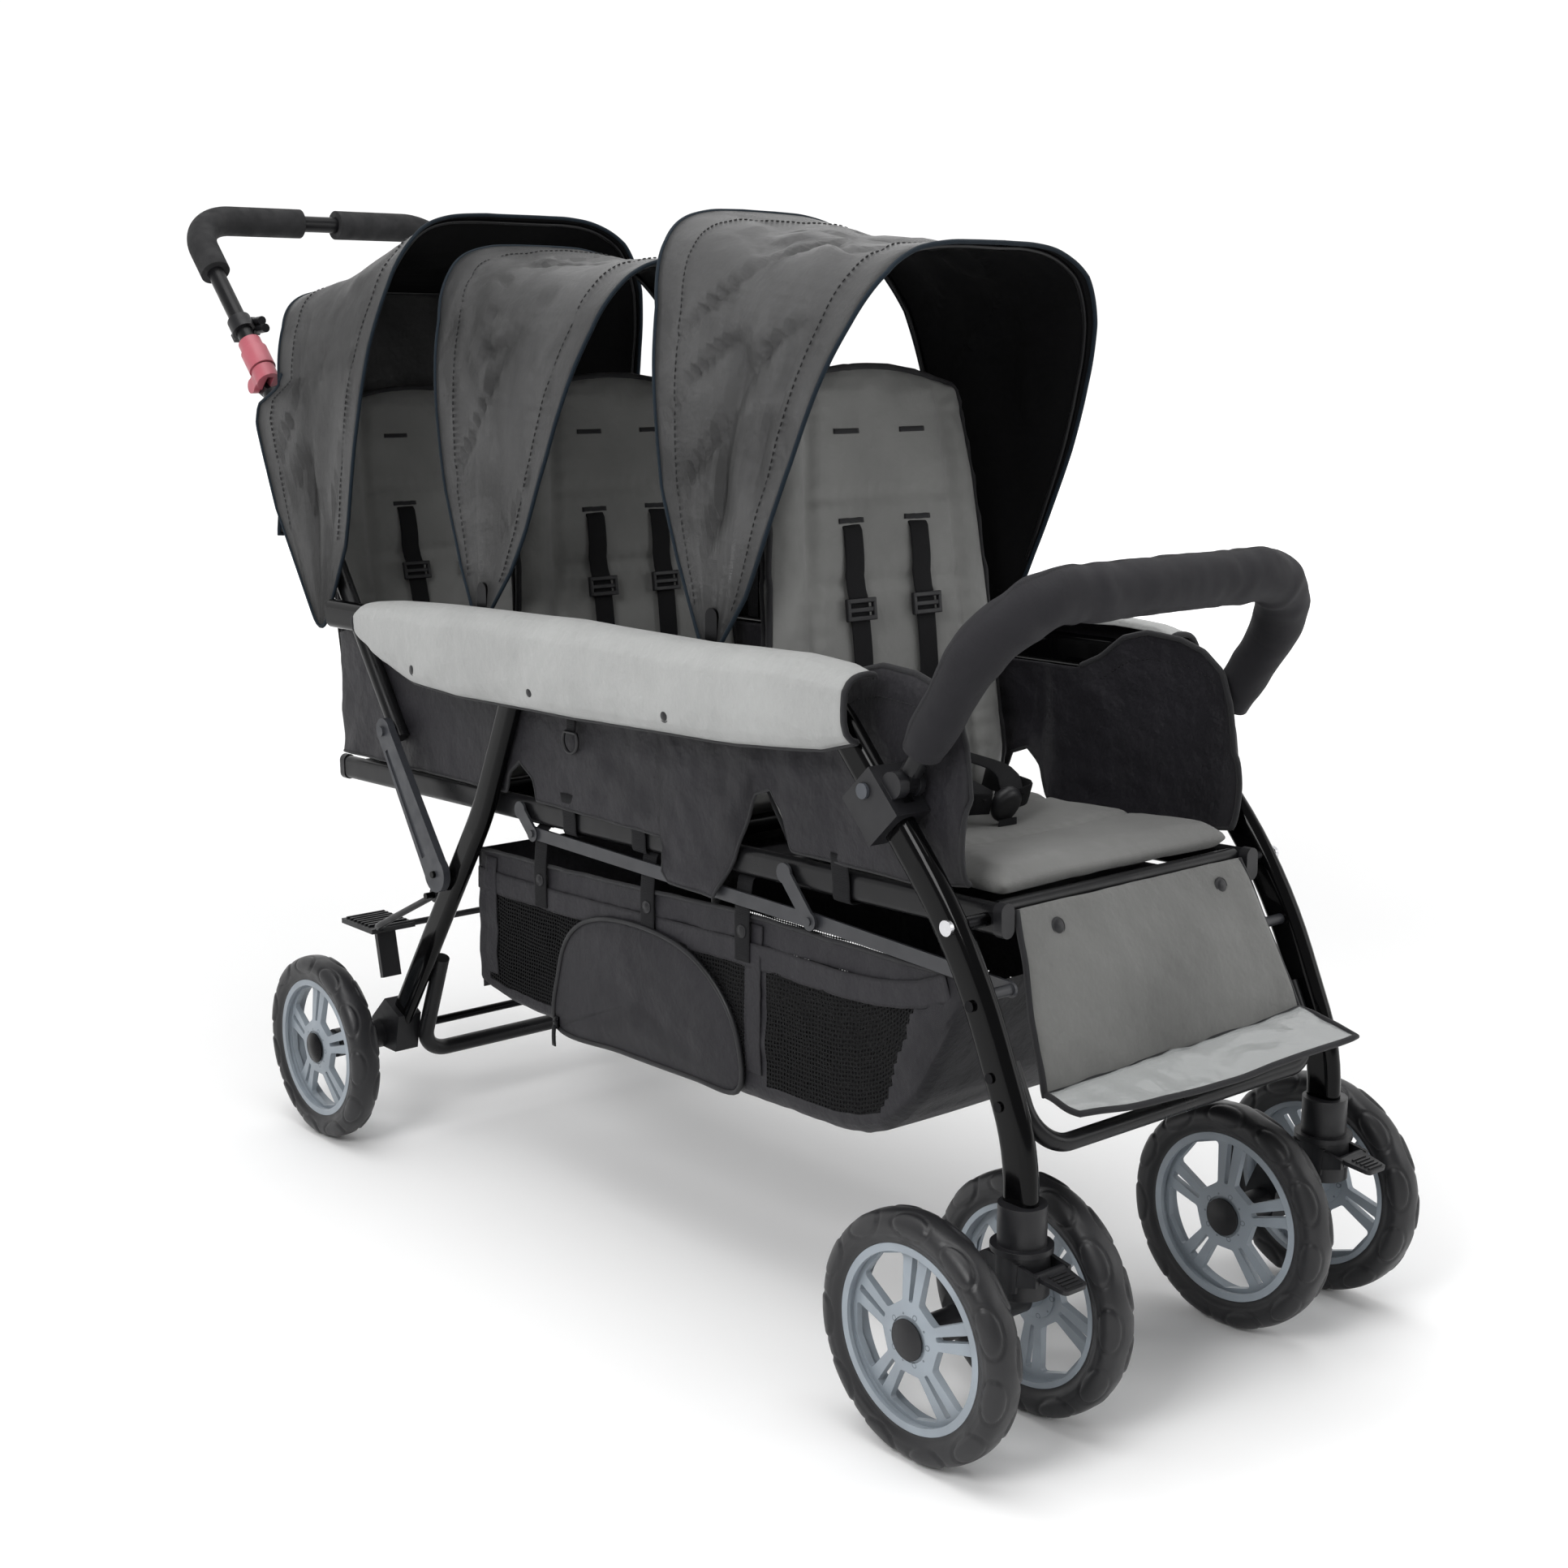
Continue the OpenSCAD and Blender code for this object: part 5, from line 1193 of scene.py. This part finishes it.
pocket = sewn("basket_pocket_right", patch, len(outline), 26, panel_black, "frame", 0.0012)
edge = np.c_[np.full(len(outline), -174.4), outline]
sweep("pocket_zip_right", edge, 3.0, black_plastic, "frame", 10, closed=True)
stitches("pocket_stitch_right", np.vstack([edge, edge[:1]]) - (1.6, 0, 0), "frame", length=2.0,
         gap=1.6, radius=1.0, material=black_plastic)
pull = curve([(-178, -14, 204), (-180, -13, 196), (-180, -12, 186), (-179, -11, 176)], 3)
sweep("zip_pull_right", pull, 3.2, zinc, "frame", 12, across=(0, 1, 0), height=2)
sweep("zip_slider_right", [(-177, -15, 210), (-178.5, -15, 204), (-177.5, -14, 197)], 4.2, zinc, "frame",
      12, across=(0, 1, 0), height=4)

# %% [markdown]
# ## Footwell
# A thin quilted panel hangs behind the front child's calves, held by two snaps under the cushion's front edge. At
# its foot lies a flap over the foot tube: clear vinyl over grey cloth, which wrinkles in long glassy folds.

# %% Calf panel and foot flap


def calf(u, v):
    a = u * 2 - 1
    x = a * (150 + 8 * v)
    y = -669 - (57 + 13 * a) * v - 3.0 * np.sin(math.pi * v) * (1 - a * a)
    y = y - 6.0 * bulge(a, 6) * np.sin(math.pi * v) ** 0.6
    z = 454 - (142 - 10 * a) * v
    sample = stack(x, 0 * x, z)
    tug = 2.6 * np.sin((abs(a) * 9 - v * 5)) * np.exp(-((v - 0.25) / 0.3) ** 2) * smoothstep(0.3, 0.9, abs(a))
    return x, np.clip(y - tug * 0.6 + 2.2 * ripple(sample, 55, 81) + 1.0 * ripple(sample, 22, 83), -746, -662), z


panel = sewn("calf_panel_cloth", calf, 90, 46, calf_grey, "frame", 0.004)
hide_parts("calf_panel")
trim = np.vstack([run_on(calf, 0.0, np.linspace(0, 1, 40)), run_on(calf, np.linspace(0, 1, 80)[1:-1], 1.0),
                  run_on(calf, 1.0, np.linspace(1, 0, 40))])
binding("calf_binding", trim, 3.2, sides=10)
for s, side in sides:
    dome("calf_snap_" + side, on(calf, 0.5 + s * 0.36, 0.13) + (0, -1.6, 0), (0, -1, 0.3), 8, 3.2, black_plastic,
         "frame")


def flap(u, v, up=0.0):
    a = u * 2 - 1
    x = a * (158 - 5 * v ** 3)
    y = -726 - 13 * a - (58 + 8 * a - 14 * np.clip(-a, 0, 1) ** 3) * v
    z = 312 + 10 * a - (14 - 5 * a * a) * v
    wave = 2.6 * ripple(stack(x * 0.6, y * 1.3, 0 * x), 34, 91) * smoothstep(0.0, 0.3, v)
    return x, y, z + np.clip(wave, -1.5, 4) + up


under = sewn("foot_flap_cloth", flap, 70, 16, calf_grey, "frame", 0.0012)


def vinyl(u, v):
    return flap(u, v, 2.4 + 2.2 * ripple(stack(u * 300, v * 60, 0 * u), 26, 97))


over = sewn("foot_flap_vinyl", vinyl, 90, 22, clear_vinyl, "frame", 0.0006)
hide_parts("foot_flap")


def between(u, v):
    return flap(u, v, 1.2)


trim = np.vstack([run_on(between, np.linspace(0, 1, 60), 0.0), run_on(between, 1.0, np.linspace(0, 1, 12)[1:]),
                  run_on(between, np.linspace(1, 0, 60)[1:], 1.0), run_on(between, 0.0, np.linspace(1, 0, 12)[1:-1])])
binding("foot_flap_binding", trim, 2.9, sides=10, closed=True)
print("footwell done")

# %% [markdown]
# ## Bumper sleeve
# A tube of black cloth over foam covers the bumper bar. It is gathered where the bar bends, so its radius wavers
# along the bar and the wrinkles crowd together inside each bend.

# %% Bumper sleeve
pivot, lean, reach, half, bend = np.array([-589.0, 559.0]), math.radians(123.2), 197.0, 205.0, 85.0
start, radius, around, step = 36, 22.0, 40, 3.0
quarter = np.linspace(0, math.pi / 2, 18)[1:]
flat = [(-half, q) for q in np.linspace(start, reach - bend, 14)]
flat += [(-half + bend - bend * math.cos(a), reach - bend + bend * math.sin(a)) for a in quarter]
flat += [(q, reach) for q in np.linspace(-half + bend, half - bend, 40)[1:]]
flat += [(half - bend + bend * math.sin(a), reach - bend + bend * math.cos(a)) for a in quarter]
flat += [(half, q) for q in np.linspace(reach - bend, start, 14)[1:]]
bar = along(np.array([(q, pivot[0] + d * math.cos(lean), pivot[1] + d * math.sin(lean)) for q, d in flat]), step)
sleeve = sweep("bumper_sleeve", bar, radius, sleeve_black, "bumper", around)
ring = np.array([v.co for v in sleeve.data.vertices]).reshape(len(bar), around, 3) * 1000
outward = (ring - bar[:, None]) / radius
s = np.arange(len(bar))[:, None] * step
total = s.max()
bendness = np.exp(-((s - 190) / 60) ** 2) + np.exp(-((s - (total - 190)) / 60) ** 2)
ends = np.exp(-(s / 16) ** 2) + np.exp(-((s - total) / 16) ** 2)
wrinkle = 1.6 * ripple(ring, 44, 5) + 0.9 * ripple(ring, 17, 9)
wrinkle = wrinkle + bendness * 1.1 * np.sin(s / 7.5 + 5 * ripple(ring, 40, 2))
loose = 3.5 * smoothstep(50, 110, s) * smoothstep(50, 110, total - s)
wrinkle = wrinkle + loose - 3.2 * ends - 0.8
ring = bar[:, None] + outward * (radius + np.clip(wrinkle, -5, 5))[..., None]
sleeve.data.vertices.foreach_set("co", (ring.reshape(-1, 3) * 0.001).ravel())
sleeve.data.update()
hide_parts("bumper_cover")
under_side = bar + np.array([0, 0.55, -0.83]) * 21.4
stitches("bumper_seam", under_side[4:-4], "bumper", length=4, gap=2)
print("bumper sleeve", round(total), "mm long")

# %% [markdown]
# ## Tyres
# The tyres are moulded foam rubber: smooth walls, and half-moon pads on both shoulders, set in turn left and right.
# One tyre is made as a fine ring of points, each pushed out where a pad covers it, and used six times.

# %% Tyres with half-moon pads
half_profile = [(-12.9, 82.3), (-13.2, 85), (-15.3, 88), (-16.8, 92), (-17.2, 96), (-16.6, 100), (-14.8, 103.8),
                (-11.5, 106.9), (-7, 108.7)]
profile = half_profile + [(0, 109.4)] + [(-x, z) for x, z in reversed(half_profile)]
profile = along(curve(profile, 1.6), 1.7)
turns, pads, axle_height = 360, 22, 110
theta = np.linspace(0, 2 * math.pi, turns, endpoint=False)
steps = np.gradient(profile, axis=0)
outward = np.stack([-steps[:, 1], steps[:, 0]], 1)
outward /= np.linalg.norm(outward, axis=1)[:, None]
outward *= np.sign(outward[:, 1:2] * (profile[:, 1:2] - 96) + outward[:, :1] * profile[:, :1])
arc = np.r_[0, np.linalg.norm(np.diff(profile, axis=0), axis=1).cumsum()]
arc -= arc[-1] / 2
lift = np.zeros((turns, len(profile)))
for k in range(pads):
    shoulder = -1 if k % 2 else 1
    around = (theta - 2 * math.pi * k / pads + math.pi) % (2 * math.pi) - math.pi
    q = np.hypot(around[:, None] * 106 / 20.5, (arc[None] - shoulder * 18.0) / 12.0)
    lift = lift + 0.75 * smoothstep(1.0, 0.84, q) - 1.1 * np.exp(-((q - 1.06) / 0.075) ** 2)
lift -= 0.5 * np.exp(-((np.abs(arc)[None] - 27.5) / 0.9) ** 2)
shape = profile[None] + outward[None] * lift[..., None]
points = stack(shape[..., 0], shape[..., 1] * np.cos(theta)[:, None], shape[..., 1] * np.sin(theta)[:, None])
row = len(profile)
tyre_faces = [(i * row + j, i * row + j + 1, (i + 1) % turns * row + j + 1, (i + 1) % turns * row + j)
              for i in range(turns) for j in range(row - 1)]
wheels = [("rear_tyre_right", "rear_wheel_right", -274.5, 335), ("rear_tyre_left", "rear_wheel_left", 274.5, 335)]
for s, side in sides:
    for k, where in ((1, "outer"), (-1, "inner")):
        wheels.append((f"front_tyre_{side}_{where}", f"front_wheel_{side}_{where}", s * (207.5 + k * 68.5), -686))
for n, (node_name, body, x, y) in enumerate(wheels):
    turned = placed(points, (0, 0), math.degrees(0.37 * n)).reshape(-1, 3) + (x, y, axle_height)
    tyre = piece(node_name + "_rubber", turned, tyre_faces, tyre_black, body)
    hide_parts(node_name)
print("tyre", len(tyre_faces), "faces, pads rise", round(float(lift.max()), 2), "mm")
